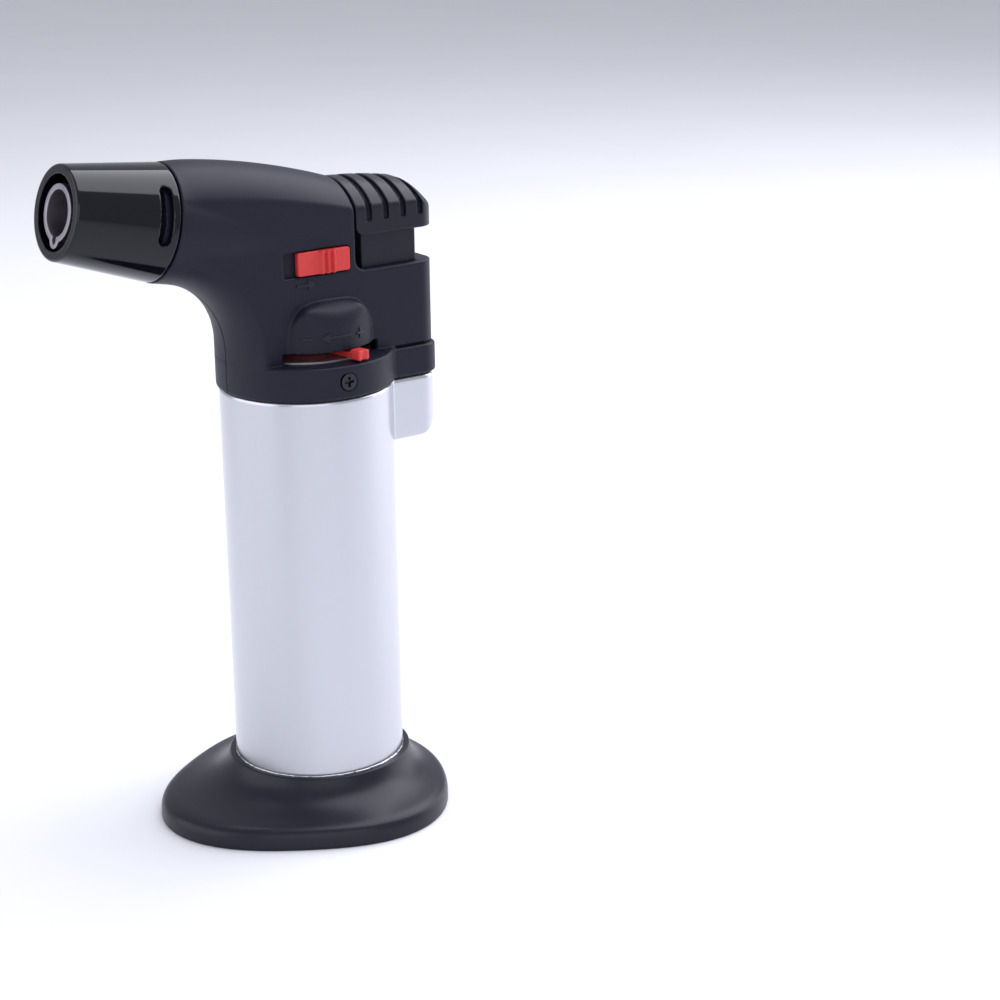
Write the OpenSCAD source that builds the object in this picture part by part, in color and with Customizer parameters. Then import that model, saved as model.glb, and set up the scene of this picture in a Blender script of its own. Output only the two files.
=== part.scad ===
// Table-top butane torch: round fuel tank on a lobed foot, two-piece head, tapered burner barrel.
// Millimetres. Z runs up the tank, the flame leaves towards -X, and the head splits on Y = 0.
// The origin is on the tank's axis, at the underside of the foot.

/* [Foot] */
// Height of the foot's lip round the tank
foot_h = 12.3; // [11:0.1:18]
// Mean radius of the foot's outline
foot_mean_r = 33.8; // [28:0.1:42]
// How much further the outline reaches under the flame side
foot_front = 4.05; // [0:0.05:6]
// Oval, three-lobe and four-lobe parts of the outline
foot_oval = 0.15; // [0:0.05:1]
foot_lobe = 1.65; // [0:0.05:2.5]
foot_quad = 0.85; // [0:0.05:1.5]
// Wall of the foot moulding
foot_wall = 2.2; // [1.6:0.1:3]
// Width of the lip round the tank
foot_lip = 1.5; // [1:0.1:3]

/* [Fuel tank] */
// Outside radius of the tank
tank_r = 20; // [16.5:0.1:24]
// Length of the tank from its floor to the collar
tank_len = 97.7; // [75:0.1:120]
// Height of the tank's floor above the table
tank_floor = 5; // [4.6:0.1:6.5]
// Wall of the tank
tank_wall = 1.6; // [1.2:0.1:2]
// Length of the neck that goes up into the collar
neck_len = 5; // [4.6:0.1:5.1]
// How far the rear lug stands behind the tank, and its height
lug_reach = 9.7; // [9:0.1:12]
lug_h = 15.2; // [13.5:0.1:20]

/* [Head] */
// Step out from the tank to the collar
collar_step = 0.58; // [0.3:0.01:1]
// Height of the collar's ledge above the collar's lower edge
ledge_h = 7.6; // [7.2:0.1:9]
// Width across the head's flat sides
head_w = 23.4; // [22.8:0.1:25]
// Wall of the head shells
shell_wall = 1.8; // [1.4:0.1:1.8]
// Radius of the bend under the neck
bend_r = 18; // [14:0.1:20]
// Height of the floor of the trigger well above the collar's lower edge
well_h = 26.4; // [25.8:0.1:30]
// Place of the front of the trigger well
well_x = 7.5; // [6.8:0.1:7.8]
// Highest line of the crown above the collar's lower edge, and its radius seen from the side
crown_h = 54.5; // [53.5:0.1:56]
crown_r = 150; // [120:1:200]
// Radius of the rear corners, seen from above
rear_corner = 5; // [3:0.1:6]
// Radius and height of the bulge over the flame lever
dome_r = 16.3; // [15.6:0.1:16.6]
dome_h = 14.1; // [12:0.1:15]
// Height and half width of the flame lever's slot
slot_h = 2.2; // [2.1:0.1:3]
slot_half = 12.3; // [11.5:0.1:12.6]

/* [Barrel] */
// Upward tilt of the barrel
barrel_tilt = 12.1; // [8:0.1:16]
// Length of the barrel, its front radius and its rear radius
barrel_len = 23.4; // [21:0.1:30]
barrel_front_r = 10.36; // [9.4:0.01:11.5]
barrel_rear_r = 13.13; // [12.6:0.01:14]
// Reach from the collar to the barrel's joint, and the joint's height above the collar's lower edge
arm_reach = 16.02; // [14:0.1:20]
arm_h = 41.13; // [40:0.1:43]
// Radius of the burner tube outside, and its bore
burner_r = 6.3; // [5.6:0.1:6.6]
burner_bore = 5; // [4.5:0.1:5.2]

/* [Trigger] */
// Travel of the trigger
trigger_travel = 6; // [4:0.1:6.5]
// Height of the cap's lower edge above the floor of the well
cap_gap = 7.7; // [7:0.1:9]
// Height of the cap's crease above its lower edge, and of its ridge above the crease
cap_side = 6.4; // [5:0.1:7]
cap_rise = 5.8; // [4:0.1:7]
// Width and depth of the finger grooves
groove_w = 1.3; // [0.8:0.1:1.8]
groove_depth = 1; // [0.6:0.1:1.4]

/* [Controls] */
// Travel of the lock slider
lock_travel = 3.1; // [2:0.1:3.2]
// Length and height of the lock slider
lock_len = 13.5; // [11:0.1:14]
lock_h = 5.3; // [4.4:0.1:5.6]
// Radius at which the flame lever's tip ends
lever_tip_r = 20.3; // [19:0.1:21]
// Angle of the flame lever, round the tank's axis
lever_angle = -79.5; // [-100:0.5:-75]

/* [Gas train] */
// Radius of the valve stem, and of the hose's bore
stem_r = 1.5; // [1.2:0.05:1.6]
// Radius of the hose
hose_r = 2.2; // [2:0.1:2.4]
// Lift of the gas valve
valve_lift = 1.25; // [0.8:0.05:1.5]
// Radius of the port that a refill nozzle enters
refill_r = 2.2; // [1.8:0.05:2.4]

/* [Hidden] */
$fn = 96;
eps = 0.01;

// Clearances
fit = 0.05;
seam = 0.05;
slip = 0.15;
run = 0.3;

// Levels of the body
collar_z = tank_floor + tank_len;
ledge_z = collar_z + ledge_h;
neck_z = collar_z + neck_len;
ledge_t = 1.4;

// Radii about the tank's axis
collar_r = tank_r + collar_step;
neck_r = tank_r - tank_wall;
lid_flange_r = neck_r - 0.2;
plate_r = collar_r - 5.48;
ledge_bore_r = plate_r + run;

// Head
half_w = head_w / 2;
rear_x = tank_r + 9.4;
block_x = rear_x + 0.6;
block_half_w = half_w + 0.5;
block_h = ledge_h - 0.65;
well_z = collar_z + well_h;
crown_top = collar_z + crown_h;
crown_peak_x = -tank_r - 21.7;
crease_drop = 8.1;
crease_r = 196;
crown_base = collar_z + 34;
bend_deg = 90 - barrel_tilt;
neck_depth = 13;
slab_depth = 9;

// Nozzle axis: s runs back from the barrel's mouth
arm_x = -collar_r - arm_reach;
arm_z = collar_z + arm_h;
mouth_x = arm_x - barrel_len * cos(barrel_tilt);
mouth_z = arm_z + barrel_len * sin(barrel_tilt);
joint_gap = 0.3;

// Hinge line of the bend under the neck: tangent to the collar's front and to the arm's underside
bend_x = -collar_r - bend_r;
bend_z = arm_z - barrel_rear_r / cos(barrel_tilt) - bend_r / cos(barrel_tilt)
    + (arm_x - bend_x) * tan(barrel_tilt);
bend_end_x = bend_x + bend_r * cos(bend_deg);
arm_under_x = arm_x - barrel_rear_r * sin(barrel_tilt);
arm_straight = (bend_end_x - arm_under_x) / cos(barrel_tilt);

// Trigger, ignition and levers
piezo_x = tank_r + 2.3;
cap_x0 = well_x + run;
cap_x1 = rear_x - 0.2;
cap_half_w = half_w - 0.2;
cap_z = well_z + cap_gap;
cap_ridge_r = 95;
stem_x0 = well_x + 2.5;
stem_x1 = piezo_x + 2.4;
stem_half_w = half_w - shell_wall - slip - 0.05;
stem_wall = 1.5;
stem_drop = 4.5;
stem_bottom = well_z - stem_drop;
piezo_half = [2.25, 3.2];
piezo_z0 = collar_z - 12.7;
piezo_z1 = collar_z + 11.3;
plunger_r = 1.6;
pivot_x = stem_x0 + 3.3;
pivot_z = collar_z + 12.8;
pivot_r = 1;
arm_top = stem_bottom - 1.1;
post_r = 2.2;
lever_t = 1.2;

// Lock slider
lock_z = collar_z + 29.75;
lock_x1 = well_x - 1.9;
lock_x0 = lock_x1 - lock_len;
lock_recess = 1.2;
grip_w = 4.5;
grip_x = lock_x0 + 7.35;

// Gas train levels
lid_top = neck_z + 0.9;
plate_top = ledge_z + 0.2;
wheel_z0 = plate_top + 0.4;
wheel_h = 2.1;
wheel_r = 5.2;
wheel_tooth = 0.7;
lever_z0 = plate_top + run;
lever_h = 1.35;
valve_r = 3.9;
valve_top = wheel_z0 + wheel_h + 0.9;
valve_z0 = lid_top - 11.6;
chamber_z0 = valve_z0 + 1;
chamber_z1 = valve_z0 + 9;
stem_foot_z = chamber_z0 + 1;
stem_top = collar_z + 20.3;
stem_flange_z = pivot_z + lever_t / 2 + 0.5;
hose_z0 = stem_top - 3.5;
hose_bend_r = 9;
axis_z0 = arm_z + arm_x * tan(barrel_tilt);
hose_tangent = hose_bend_r * tan(bend_deg / 2);
jet_s = barrel_len + 6.4;
spark_drop = burner_r - 0.2;

// Fasteners
screw_x = -0.8;
screw_z = collar_z + 3.85;
screw_head_r = 1.95;
screw_shank_r = 0.9;
shell_screws = [[-13.5, collar_z + 15.3], [3, collar_z + 38.8], [piezo_x - 4.6, collar_z + 12.9]];
boss_r = 2;

black = "#202228";
silver = "#c9ccd2";
red = "#d8342c";
brass = "#c8a24a";
steel = "#b4b8bd";

// ---- Shared shapes -------------------------------------------------------------------------------

// Closed skin through rings that all have the same number of points
module skin(rings) {
    count = len(rings[0]);
    last = len(rings) - 1;
    sides = [
        for (r = [0:last - 1], i = [0:count - 1])
            [r * count + i, r * count + (i + 1) % count, (r + 1) * count + (i + 1) % count, (r + 1) * count + i]
    ];
    polyhedron(
        points = [for (r = rings, p = r) p],
        faces = concat([[for (i = [count - 1:-1:0]) i]], sides, [[for (i = [0:count - 1]) last * count + i]])
    );
}

// Joins faceted pieces into one skin before anything is bored in it
module joined() {
    resize([0, 0, 0])
        children();
}

// Moves children to the nozzle axis, s back from the mouth, with Z along the axis towards the rear
module on_nozzle(s = 0) {
    translate([mouth_x, 0, mouth_z])
        rotate([0, 90 + barrel_tilt, 0])
            translate([0, 0, s])
                children();
}

// Ring with a square section
module tube(outer, inner, h) {
    difference() {
        cylinder(r = outer, h = h);
        translate([0, 0, -eps])
            cylinder(r = inner, h = h + 2 * eps);
    }
}

// Plan of a block that ends in rounded corners at the rear
module rear_plan(x0, x1, half, corner) {
    translate([x0, -half])
        square([x1 - corner - x0, 2 * half]);
    translate([x0, -half + corner])
        square([x1 - x0, 2 * (half - corner)]);
    for (side = [-1, 1])
        translate([x1 - corner, side * (half - corner)])
            circle(corner);
}

// The same plan as one outline, for pieces that are joined into a skin
function rear_outline(x0, x1, half, corner) = concat(
    [[x0, half], [x0, -half]],
    [for (k = [0:12]) [x1 - corner + corner * sin(k * 7.5), -half + corner - corner * cos(k * 7.5)]],
    [for (k = [0:12]) [x1 - corner + corner * cos(k * 7.5), half - corner + corner * sin(k * 7.5)]]
);

// Helical spring with ground ends, standing on z = 0
module coil(mean_r, wire_r, h, turns) {
    steps = 14;
    rise = (h - 2 * wire_r) / (turns * steps);
    skin([
        for (k = [0:turns * steps]) [
            for (a = [0:60:300]) [
                (mean_r + wire_r * cos(a)) * cos(k * 360 / steps),
                (mean_r + wire_r * cos(a)) * sin(k * 360 / steps),
                wire_r + k * rise + wire_r * sin(a) * 0.99
            ]
        ]
    ]);
}

// Sealing ring
module o_ring(mean_r, section_r) {
    rotate_extrude()
        translate([mean_r, 0])
            circle(section_r, $fn = 24);
}

// Half-turned solid along Y, from y0 to y1, at a place in the XZ plane
module across(x, z, y0, y1, r) {
    translate([x, y0, z])
        rotate([-90, 0, 0])
            cylinder(r = r, h = y1 - y0);
}

// ---- Foot ----------------------------------------------------------------------------------------

lip_r = tank_r + foot_lip;
foot_edge = 1.8;
foot_steps = 60;

// Radius of the foot's outline at an angle from the flame side
function foot_r(a) = foot_mean_r + foot_front * cos(a) + foot_oval * cos(2 * a)
    + foot_lobe * cos(3 * a) + foot_quad * cos(4 * a);

// Cubic curve through four control points
function bezier(p, t) = pow(1 - t, 3) * p[0] + 3 * t * pow(1 - t, 2) * p[1]
    + 3 * t * t * (1 - t) * p[2] + pow(t, 3) * p[3];

// Section of the foot from its edge up to the lip: share of the way out from the lip, and height
foot_shoulder = [[1, foot_edge], [1, foot_h * 0.34], [0.94, foot_h * 0.4], [0.76, foot_h * 0.44]];
foot_flare = [[0.76, foot_h * 0.44], [0.4, foot_h * 0.52], [0.14, foot_h * 0.62], [0, foot_h]];
foot_section = concat(
    [[1, 0]],
    [for (k = [0:5]) bezier(foot_shoulder, k / 5)],
    [for (k = [1:6]) bezier(foot_flare, k / 6)]
);

function foot_ring(share, z, inset) = [
    for (k = [0:foot_steps - 1])
        let (a = k * 360 / foot_steps, r = lip_r + (foot_r(a) - lip_r) * share - inset)
            [-r * cos(a), r * sin(a), z]
];

module foot() {
    cup_floor = tank_floor - 2.4;
    rib_h = foot_edge + 1.6;
    color(black)
        difference() {
            joined()
                union() {
                    difference() {
                        skin([for (p = foot_section) foot_ring(p[0], p[1], 0)]);
                        skin([for (p = foot_section) foot_ring(p[0], p[1] - foot_wall, foot_wall)]);
                    }
                    translate([0, 0, cup_floor])
                        cylinder(r = lip_r - 0.6, h = foot_h - 0.5 - cup_floor);
                    cylinder(r = 8.3, h = cup_floor + 1);
                    for (a = [0:60:300])
                        rotate(a + 30)
                            translate([lip_r - 1.4, -0.8, 0.8])
                                cube([foot_r(150 - a) - lip_r - foot_wall / 2 + 1, 1.6, rib_h - 0.8]);
                }
            translate([0, 0, tank_floor])
                cylinder(r = tank_r + fit, h = foot_h);
            translate([0, 0, -1])
                cylinder(r = 6.5, h = 1 + refill_mouth - 0.2);
            cylinder(r = 5.45, h = foot_h);
        }
}

// ---- Fuel tank -----------------------------------------------------------------------------------

refill_body_r = 3.9;

module tank_shell() {
    inner_r = tank_r - tank_wall;
    rotate_extrude()
        polygon([
            [refill_body_r + fit, tank_floor],
            [tank_r - 0.8, tank_floor],
            [tank_r, tank_floor + 0.8],
            [tank_r, collar_z - 0.2],
            [neck_r, collar_z - 0.2],
            [neck_r, neck_z],
            [neck_r - tank_wall, neck_z],
            [neck_r - tank_wall, collar_z - 1.2],
            [inner_r, collar_z - 3.4],
            [inner_r, tank_floor + 2],
            [7, tank_floor + 2],
            [7, tank_floor + 7],
            [refill_body_r + fit, tank_floor + 7]
        ]);
}

// Side outline of the rear lug
function lug_outline() =
    let (x1 = tank_r + lug_reach, z0 = collar_z - lug_h, r = 6)
        concat(
            [[tank_r * 0.5, collar_z - 0.2], [tank_r * 0.5, z0]],
            [for (k = [0:6]) [x1 - 0.7 - r + r * sin(k * 15), z0 + r - r * cos(k * 15)]],
            [[x1, collar_z - 0.2]]
        );

module lug_block(half) {
    intersection() {
        rotate([90, 0, 0])
            linear_extrude(2 * half, center = true)
                polygon(lug_outline());
        translate([0, 0, collar_z - lug_h - 1])
            linear_extrude(lug_h + 2)
                rear_plan(0, tank_r + lug_reach, half, rear_corner);
    }
}

module fuel_tank() {
    pocket_z = piezo_z0 - 0.5;
    color(silver)
        difference() {
            union() {
                tank_shell();
                difference() {
                    lug_block(half_w);
                    translate([0, 0, collar_z - lug_h - 2])
                        cylinder(r = tank_r - 0.1, h = lug_h + 4);
                    translate([tank_r, -half_w + 4.5, pocket_z])
                        cube([lug_reach - 3.2, 2 * half_w - 9, lug_h + 2]);
                }
            }
            for (side = [-1, 1])
                scale([1, side, 1])
                    across(screw_x, screw_z, tank_r - 6, tank_r + 4, screw_shank_r + fit);
        }
}

module tank_lid() {
    color(steel)
        difference() {
            union() {
                translate([0, 0, neck_z])
                    cylinder(r = lid_flange_r, h = lid_top - neck_z);
                translate([0, 0, neck_z - 1.2])
                    cylinder(r = neck_r - tank_wall - fit, h = 1.2 + eps);
                translate([0, 0, valve_z0 + 1])
                    cylinder(r = 5.9, h = ledge_z + 0.3 - valve_z0 - 1);
            }
            translate([0, 0, valve_z0])
                cylinder(r = valve_r + fit, h = 30);
        }
}

// ---- Refill valve --------------------------------------------------------------------------------

refill_mouth = tank_floor - 1.2;
refill_throat = refill_mouth + 3;
refill_seat = refill_throat + 1.5;
refill_top = refill_seat + 5.7;

module refill_valve_body() {
    color(brass)
        rotate_extrude()
            polygon([
                [refill_r, refill_mouth],
                [5.4, refill_mouth],
                [5.4, tank_floor],
                [refill_body_r, tank_floor],
                [refill_body_r, refill_top + 1],
                [0.8, refill_top + 1],
                [0.8, refill_top],
                [2.7, refill_top],
                [2.7, refill_seat],
                [1.3, refill_seat],
                [1.3, refill_throat],
                [refill_r, refill_throat]
            ]);
}

module refill_stem() {
    color(steel)
        union() {
            translate([0, 0, refill_throat + 0.1])
                cylinder(r = 1.1, h = refill_seat - refill_throat + 1);
            translate([0, 0, refill_seat + 0.8])
                cylinder(r = 2.3, h = 1);
        }
}

module refill_spring() {
    z0 = refill_seat + 1.85;
    color(steel)
        translate([0, 0, z0])
            coil(1.7, 0.22, refill_top - 0.05 - z0, 3);
}

module refill_seal() {
    color(black)
        translate([0, 0, refill_seat + 0.4])
            o_ring(1.75, 0.35);
}

// ---- Gas valve -----------------------------------------------------------------------------------

module valve_body() {
    color(brass)
        rotate_extrude()
            polygon([
                [0.6, valve_z0 - 2.5],
                [stem_r, valve_z0 - 2.5],
                [stem_r, valve_z0],
                [valve_r, valve_z0],
                [valve_r, valve_top - 0.8],
                [4.9, valve_top - 0.8],
                [4.9, valve_top],
                [stem_r + fit, valve_top],
                [stem_r + fit, chamber_z1],
                [2.6, chamber_z1],
                [2.6, chamber_z0],
                [0.6, chamber_z0]
            ]);
}

module valve_stem() {
    color(brass)
        difference() {
            union() {
                translate([0, 0, stem_foot_z])
                    cylinder(r = 2.4, h = 1.2);
                translate([0, 0, stem_foot_z + 1])
                    cylinder(r = stem_r, h = stem_top - stem_foot_z - 1);
                translate([0, 0, stem_flange_z])
                    cylinder(r = 3, h = 0.8);
            }
            translate([0, 0, stem_foot_z + 3])
                cylinder(r = 0.5, h = stem_top);
        }
}

module valve_spring() {
    z0 = stem_foot_z + 1.25;
    color(steel)
        translate([0, 0, z0])
            coil(2.03, 0.25, chamber_z1 - 0.05 - z0, 5);
}

module valve_seal() {
    color(black)
        translate([0, 0, chamber_z0 + 0.5])
            o_ring(1.4, 0.42);
}

module inlet_filter() {
    color("white")
        translate([0, 0, valve_z0 - 8])
            difference() {
                cylinder(r = 2.6, h = 7.9);
                translate([0, 0, 5])
                    cylinder(r = stem_r + fit, h = 4);
            }
}

module valve_cover_plate() {
    color(steel)
        translate([0, 0, lid_top])
            difference() {
                cylinder(r = plate_r, h = plate_top - lid_top);
                translate([0, 0, -eps])
                    cylinder(r = plate_r - 0.6, h = plate_top - lid_top - 0.6);
                translate([0, 0, -eps])
                    cylinder(r = 6.2, h = 10);
            }
}

module wheel_outline(grow) {
    circle(wheel_r + grow);
    for (a = [0:22.5:350])
        rotate(a)
            translate([0, -0.5 - grow])
                square([wheel_r + wheel_tooth + grow, 1 + 2 * grow]);
}

module adjuster_wheel() {
    color(brass)
        translate([0, 0, wheel_z0])
            difference() {
                linear_extrude(wheel_h)
                    wheel_outline(0);
                translate([0, 0, -eps])
                    cylinder(r = valve_r + fit, h = wheel_h + 1);
            }
}

module flame_lever() {
    arm_w = 2.4;
    tip_w = 3;
    tip_len = 3.2;
    tip_h = 2.3;
    color(red)
        rotate(lever_angle)
            translate([0, 0, lever_z0])
                union() {
                    linear_extrude(lever_h)
                        difference() {
                            union() {
                                circle(8.5);
                                translate([7, -arm_w / 2])
                                    square([lever_tip_r - 8, arm_w]);
                            }
                            rotate(-lever_angle)
                                wheel_outline(fit);
                        }
                    translate([lever_tip_r - tip_len, -tip_w / 2, -0.1])
                        cube([tip_len, tip_w, tip_h]);
                }
}

// ---- Gas lever, hose and jet ---------------------------------------------------------------------

module gas_lever() {
    fork_half = 3;
    color(steel)
        difference() {
            union() {
                translate([-0.7, -fork_half, pivot_z - lever_t / 2])
                    cube([4.2, 2 * fork_half, lever_t]);
                translate([3, -1.8, pivot_z - lever_t / 2])
                    cube([pivot_x - 3, 3.6, lever_t]);
                across(pivot_x, pivot_z, -2.5, 2.5, 1.9);
                translate([pivot_x - 0.8, -1.8, pivot_z])
                    cube([1.6, 3.6, arm_top - pivot_z]);
                across(pivot_x, arm_top, -1.8, 1.8, 0.8);
            }
            translate([-2, -stem_r - run, pivot_z - lever_t])
                cube([2 + stem_r + run, 2 * (stem_r + run), 2 * lever_t]);
            across(pivot_x, pivot_z, -3, 3, pivot_r + fit);
        }
}

module gas_lever_pin() {
    color(steel)
        across(pivot_x, pivot_z, -half_w + 3.2, half_w - 3.2, pivot_r);
}

module gas_hose() {
    straight = mouth_to_corner - hose_tangent - jet_s - 6;
    overlap = 0.5;
    riser = axis_z0 - hose_tangent - hose_z0;
    color("#d8d8c8")
        difference() {
            union() {
                translate([0, 0, hose_z0])
                    cylinder(r = hose_r, h = riser + overlap);
                hose_bend(hose_r - 0.1);
                on_nozzle(jet_s + 6)
                    cylinder(r = hose_r, h = straight + overlap);
            }
            translate([0, 0, hose_z0 - 1])
                cylinder(r = stem_r + fit, h = riser + 1 + overlap);
            hose_bend(stem_r - 0.1);
            on_nozzle(jet_s + 5)
                cylinder(r = stem_r + fit, h = straight + 1 + overlap);
        }
}

// Distance along the nozzle axis from the mouth to the tank's axis
mouth_to_corner = -mouth_x / cos(barrel_tilt);

module hose_bend(r) {
    translate([-hose_bend_r, 0, axis_z0 - hose_tangent])
        rotate([90, 0, 0])
            rotate_extrude(angle = bend_deg)
                translate([hose_bend_r, 0])
                    circle(r);
}

module gas_jet() {
    color(brass)
        on_nozzle(jet_s)
            difference() {
                union() {
                    translate([0, 0, -3])
                        cylinder(r = 1.6, h = 4);
                    cylinder(r = burner_bore - fit, h = 2.6);
                    cylinder(r = 3.2, h = 5);
                    cylinder(r = stem_r, h = 12);
                }
                translate([0, 0, -4])
                    cylinder(r = 0.3, h = 20);
            }
}

// ---- Burner and barrel ---------------------------------------------------------------------------

// Keyhole outline: a round tube with a channel for the spark wire along its underside
module keyhole(r, channel_half, channel_drop) {
    circle(r);
    translate([0, -channel_half])
        square([channel_drop, 2 * channel_half]);
    translate([channel_drop, 0])
        circle(channel_half - 0.02);
}

module burner_tube() {
    length = jet_s + 2.4;
    color(steel)
        on_nozzle(0.4)
            difference() {
                linear_extrude(length - 0.4)
                    difference() {
                        keyhole(burner_r, 1.95, spark_drop - 0.3);
                        keyhole(burner_bore, 0.9, spark_drop - 0.3);
                    }
                for (a = [45, 135])
                    rotate(a)
                        translate([0, 0, jet_s - 2.6])
                            rotate([90, 0, 0])
                                cylinder(r = 1.2, h = 20, center = true);
            }
}

module flame_holder() {
    color(steel)
        on_nozzle(13)
            difference() {
                cylinder(r = burner_bore - fit, h = 2);
                for (a = [0:60:300])
                    rotate(a)
                        translate([3, 0, -1])
                            cylinder(r = 0.8, h = 4, $fn = 24);
                translate([0, 0, -1])
                    cylinder(r = 1, h = 4, $fn = 24);
            }
}

module barrel() {
    slot_w = 2.7;
    slot_s = barrel_len - 3.4;
    slot_mid = 13.5;
    slot_span = 61;
    end_angle = slot_span / 2 - 6;
    spigot_r = barrel_rear_r - 1.9;
    color("#14151a")
        on_nozzle()
            difference() {
                rotate_extrude()
                    polygon([
                        [barrel_front_r - 2.1, 0],
                        [barrel_front_r - 0.4, 0],
                        [barrel_front_r, 0.5],
                        [barrel_rear_r, barrel_len - joint_gap],
                        [spigot_r + fit, barrel_len - joint_gap],
                        [spigot_r + fit, barrel_len - 4],
                        [barrel_rear_r - 2.4, barrel_len - 6.5],
                        [barrel_front_r - 1.3, 1.4],
                        [barrel_front_r - 2.1, 1.4]
                    ]);
                for (side = [-1, 1])
                    scale([1, side, 1])
                        rotate(-90 - slot_mid)
                            air_slot(slot_s, slot_w, end_angle);
            }
}

// Curved slot through the barrel's wall, centred on the X axis
module air_slot(s, width, half_angle) {
    translate([0, 0, s - width / 2])
        rotate(-half_angle)
            rotate_extrude(angle = 2 * half_angle)
                translate([barrel_rear_r - 4.6, 0])
                    square([8, width]);
    for (a = [-half_angle, half_angle])
        rotate(a)
            translate([barrel_rear_r - 5, 0, s])
                rotate([0, 90, 0])
                    cylinder(r = width / 2 - 0.02, h = 9);
}

module electrode() {
    color(steel)
        on_nozzle()
            union() {
                translate([spark_drop - 0.3, 0, 3])
                    cylinder(r = 0.4, h = jet_s + 4, $fn = 24);
                translate([spark_drop - 2.4, -0.35, 3])
                    cube([2.1, 0.7, 0.7]);
            }
}

insulator_s = jet_s + 3.6;
insulator_len = 10;

module electrode_insulator() {
    color("white")
        on_nozzle(insulator_s)
            translate([spark_drop + 0.35, 0, 0])
                difference() {
                    cylinder(r = 1.1, h = insulator_len, $fn = 32);
                    translate([-0.65, 0, -1])
                        cylinder(r = 0.4 + eps, h = 5, $fn = 24);
                }
}

// ---- Ignition ------------------------------------------------------------------------------------

lead_r = 0.6;
lead_start = insulator_s + insulator_len + 0.45;
lead_z = collar_z + 9.1;
lead_points = [
    [
        mouth_x + lead_start * cos(barrel_tilt) - (spark_drop + 0.35) * sin(barrel_tilt),
        0,
        mouth_z - lead_start * sin(barrel_tilt) - (spark_drop + 0.35) * cos(barrel_tilt)
    ],
    [-13, 2.5, collar_z + 27],
    [-8, 6.5, collar_z + 20],
    [-2, 8, collar_z + 14.5],
    [6, 8.2, collar_z + 10.5],
    [piezo_x - 9, 8, lead_z],
    [piezo_x - 4, 6.5, lead_z],
    [piezo_x - 0.6, piezo_half[1] + lead_r + 0.05, lead_z]
];

// Point on the smooth curve through the lead's points
function lead_at(t) =
    let (
        last = len(lead_points) - 1,
        k = min(floor(t), last - 1),
        u = t - k,
        a = lead_points[max(k - 1, 0)],
        b = lead_points[k],
        c = lead_points[k + 1],
        d = lead_points[min(k + 2, last)]
    )
        0.5 * (2 * b + (c - a) * u + (2 * a - 5 * b + 4 * c - d) * u * u + (3 * b - a - 3 * c + d) * u * u * u);

function unit(v) = v / norm(v);

module ignition_lead() {
    last = len(lead_points) - 1;
    steps = 4;
    color("#b02020")
        skin([
            for (k = [0:last * steps])
                let (
                    p = lead_at(k / steps),
                    along = unit(lead_at(min(k / steps + 0.1, last)) - lead_at(max(k / steps - 0.1, 0))),
                    side = unit(cross([0, 1, 0], along)),
                    up = cross(along, side)
                )
                    [for (a = [0:45:315]) p + lead_r * (side * cos(a) - up * sin(a))]
        ]);
}

module piezo_body() {
    color(black)
        difference() {
            translate([piezo_x - piezo_half[0], -piezo_half[1], piezo_z0])
                cube([2 * piezo_half[0], 2 * piezo_half[1], piezo_z1 - piezo_z0]);
            translate([piezo_x, 0, piezo_z1 - 16])
                cylinder(r = plunger_r + fit, h = 20);
        }
}

module piezo_plunger() {
    top = stem_bottom - fit;
    color("white")
        union() {
            translate([piezo_x, 0, piezo_z1 - 8])
                cylinder(r = plunger_r, h = top - piezo_z1 + 8);
            translate([piezo_x, 0, top - 0.8])
                cylinder(r = 2.4, h = 0.8);
        }
}

module piezo_spring() {
    z0 = piezo_z1 + 0.05;
    color(steel)
        translate([piezo_x, 0, z0])
            coil(2.1, 0.25, stem_bottom - 0.9 - z0, 6);
}

// ---- Trigger -------------------------------------------------------------------------------------

cap_crease = cap_z + cap_side;

// Height of the ridge over the crease, and how far the rear end has rounded off
function cap_sag(x) = cap_rise - pow(x - well_x, 2) / (2 * cap_ridge_r);
function cap_shrink(x) = let (u = max(0, x - (cap_x1 - 4)) / 4) 1 - sqrt(max(0, 1 - u * u));

function cap_ring(x) =
    let (
        e = cap_shrink(x),
        half = cap_half_w - 4 * e,
        sag = cap_sag(x) * (1 - 0.6 * e),
        top = cap_crease - 2.2 * e + sag,
        r = (half * half + sag * sag) / (2 * sag)
    )
        concat(
            [[x, half, cap_z], [x, -half, cap_z]],
            [for (k = [-10:10]) let (y = half * (k / 10)) [x, y, top - r + sqrt(r * r - y * y)]]
        );

cap_stations = concat(
    [for (k = [0:6]) cap_x0 + k * (cap_x1 - 4 - cap_x0) / 6],
    [for (k = [1:6]) cap_x1 - 4 + 4 * sin(k * 15 - 1)]
);

// Inner edge of the grooves: the cap's own arch, moved in by the groove's depth
module cap_core() {
    sag = cap_rise - 2.4;
    half = cap_half_w - groove_depth;
    top = cap_crease + sag;
    r = (half * half + sag * sag) / (2 * sag);
    rotate([90, 0, 90])
        translate([0, 0, cap_x0 - 2])
            linear_extrude(cap_x1 - cap_x0 + 4)
                polygon(concat(
                    [[half, cap_z - 5], [-half, cap_z - 5]],
                    [for (k = [-12:12]) let (y = half * (k / 12)) [y, top - r + sqrt(r * r - y * y)]]
                ));
}

module finger_grooves() {
    low = cap_z + 3.1;
    difference() {
        for (k = [0:3])
            translate([cap_x0 + 3.6 + k * 4.6, 0, 0]) {
                translate([-groove_w / 2, -half_w - 2, low + groove_w / 2])
                    cube([groove_w, head_w + 4, 20]);
                across(0, low + groove_w / 2, -half_w - 2, half_w + 2, groove_w / 2);
            }
        cap_core();
    }
}

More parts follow.
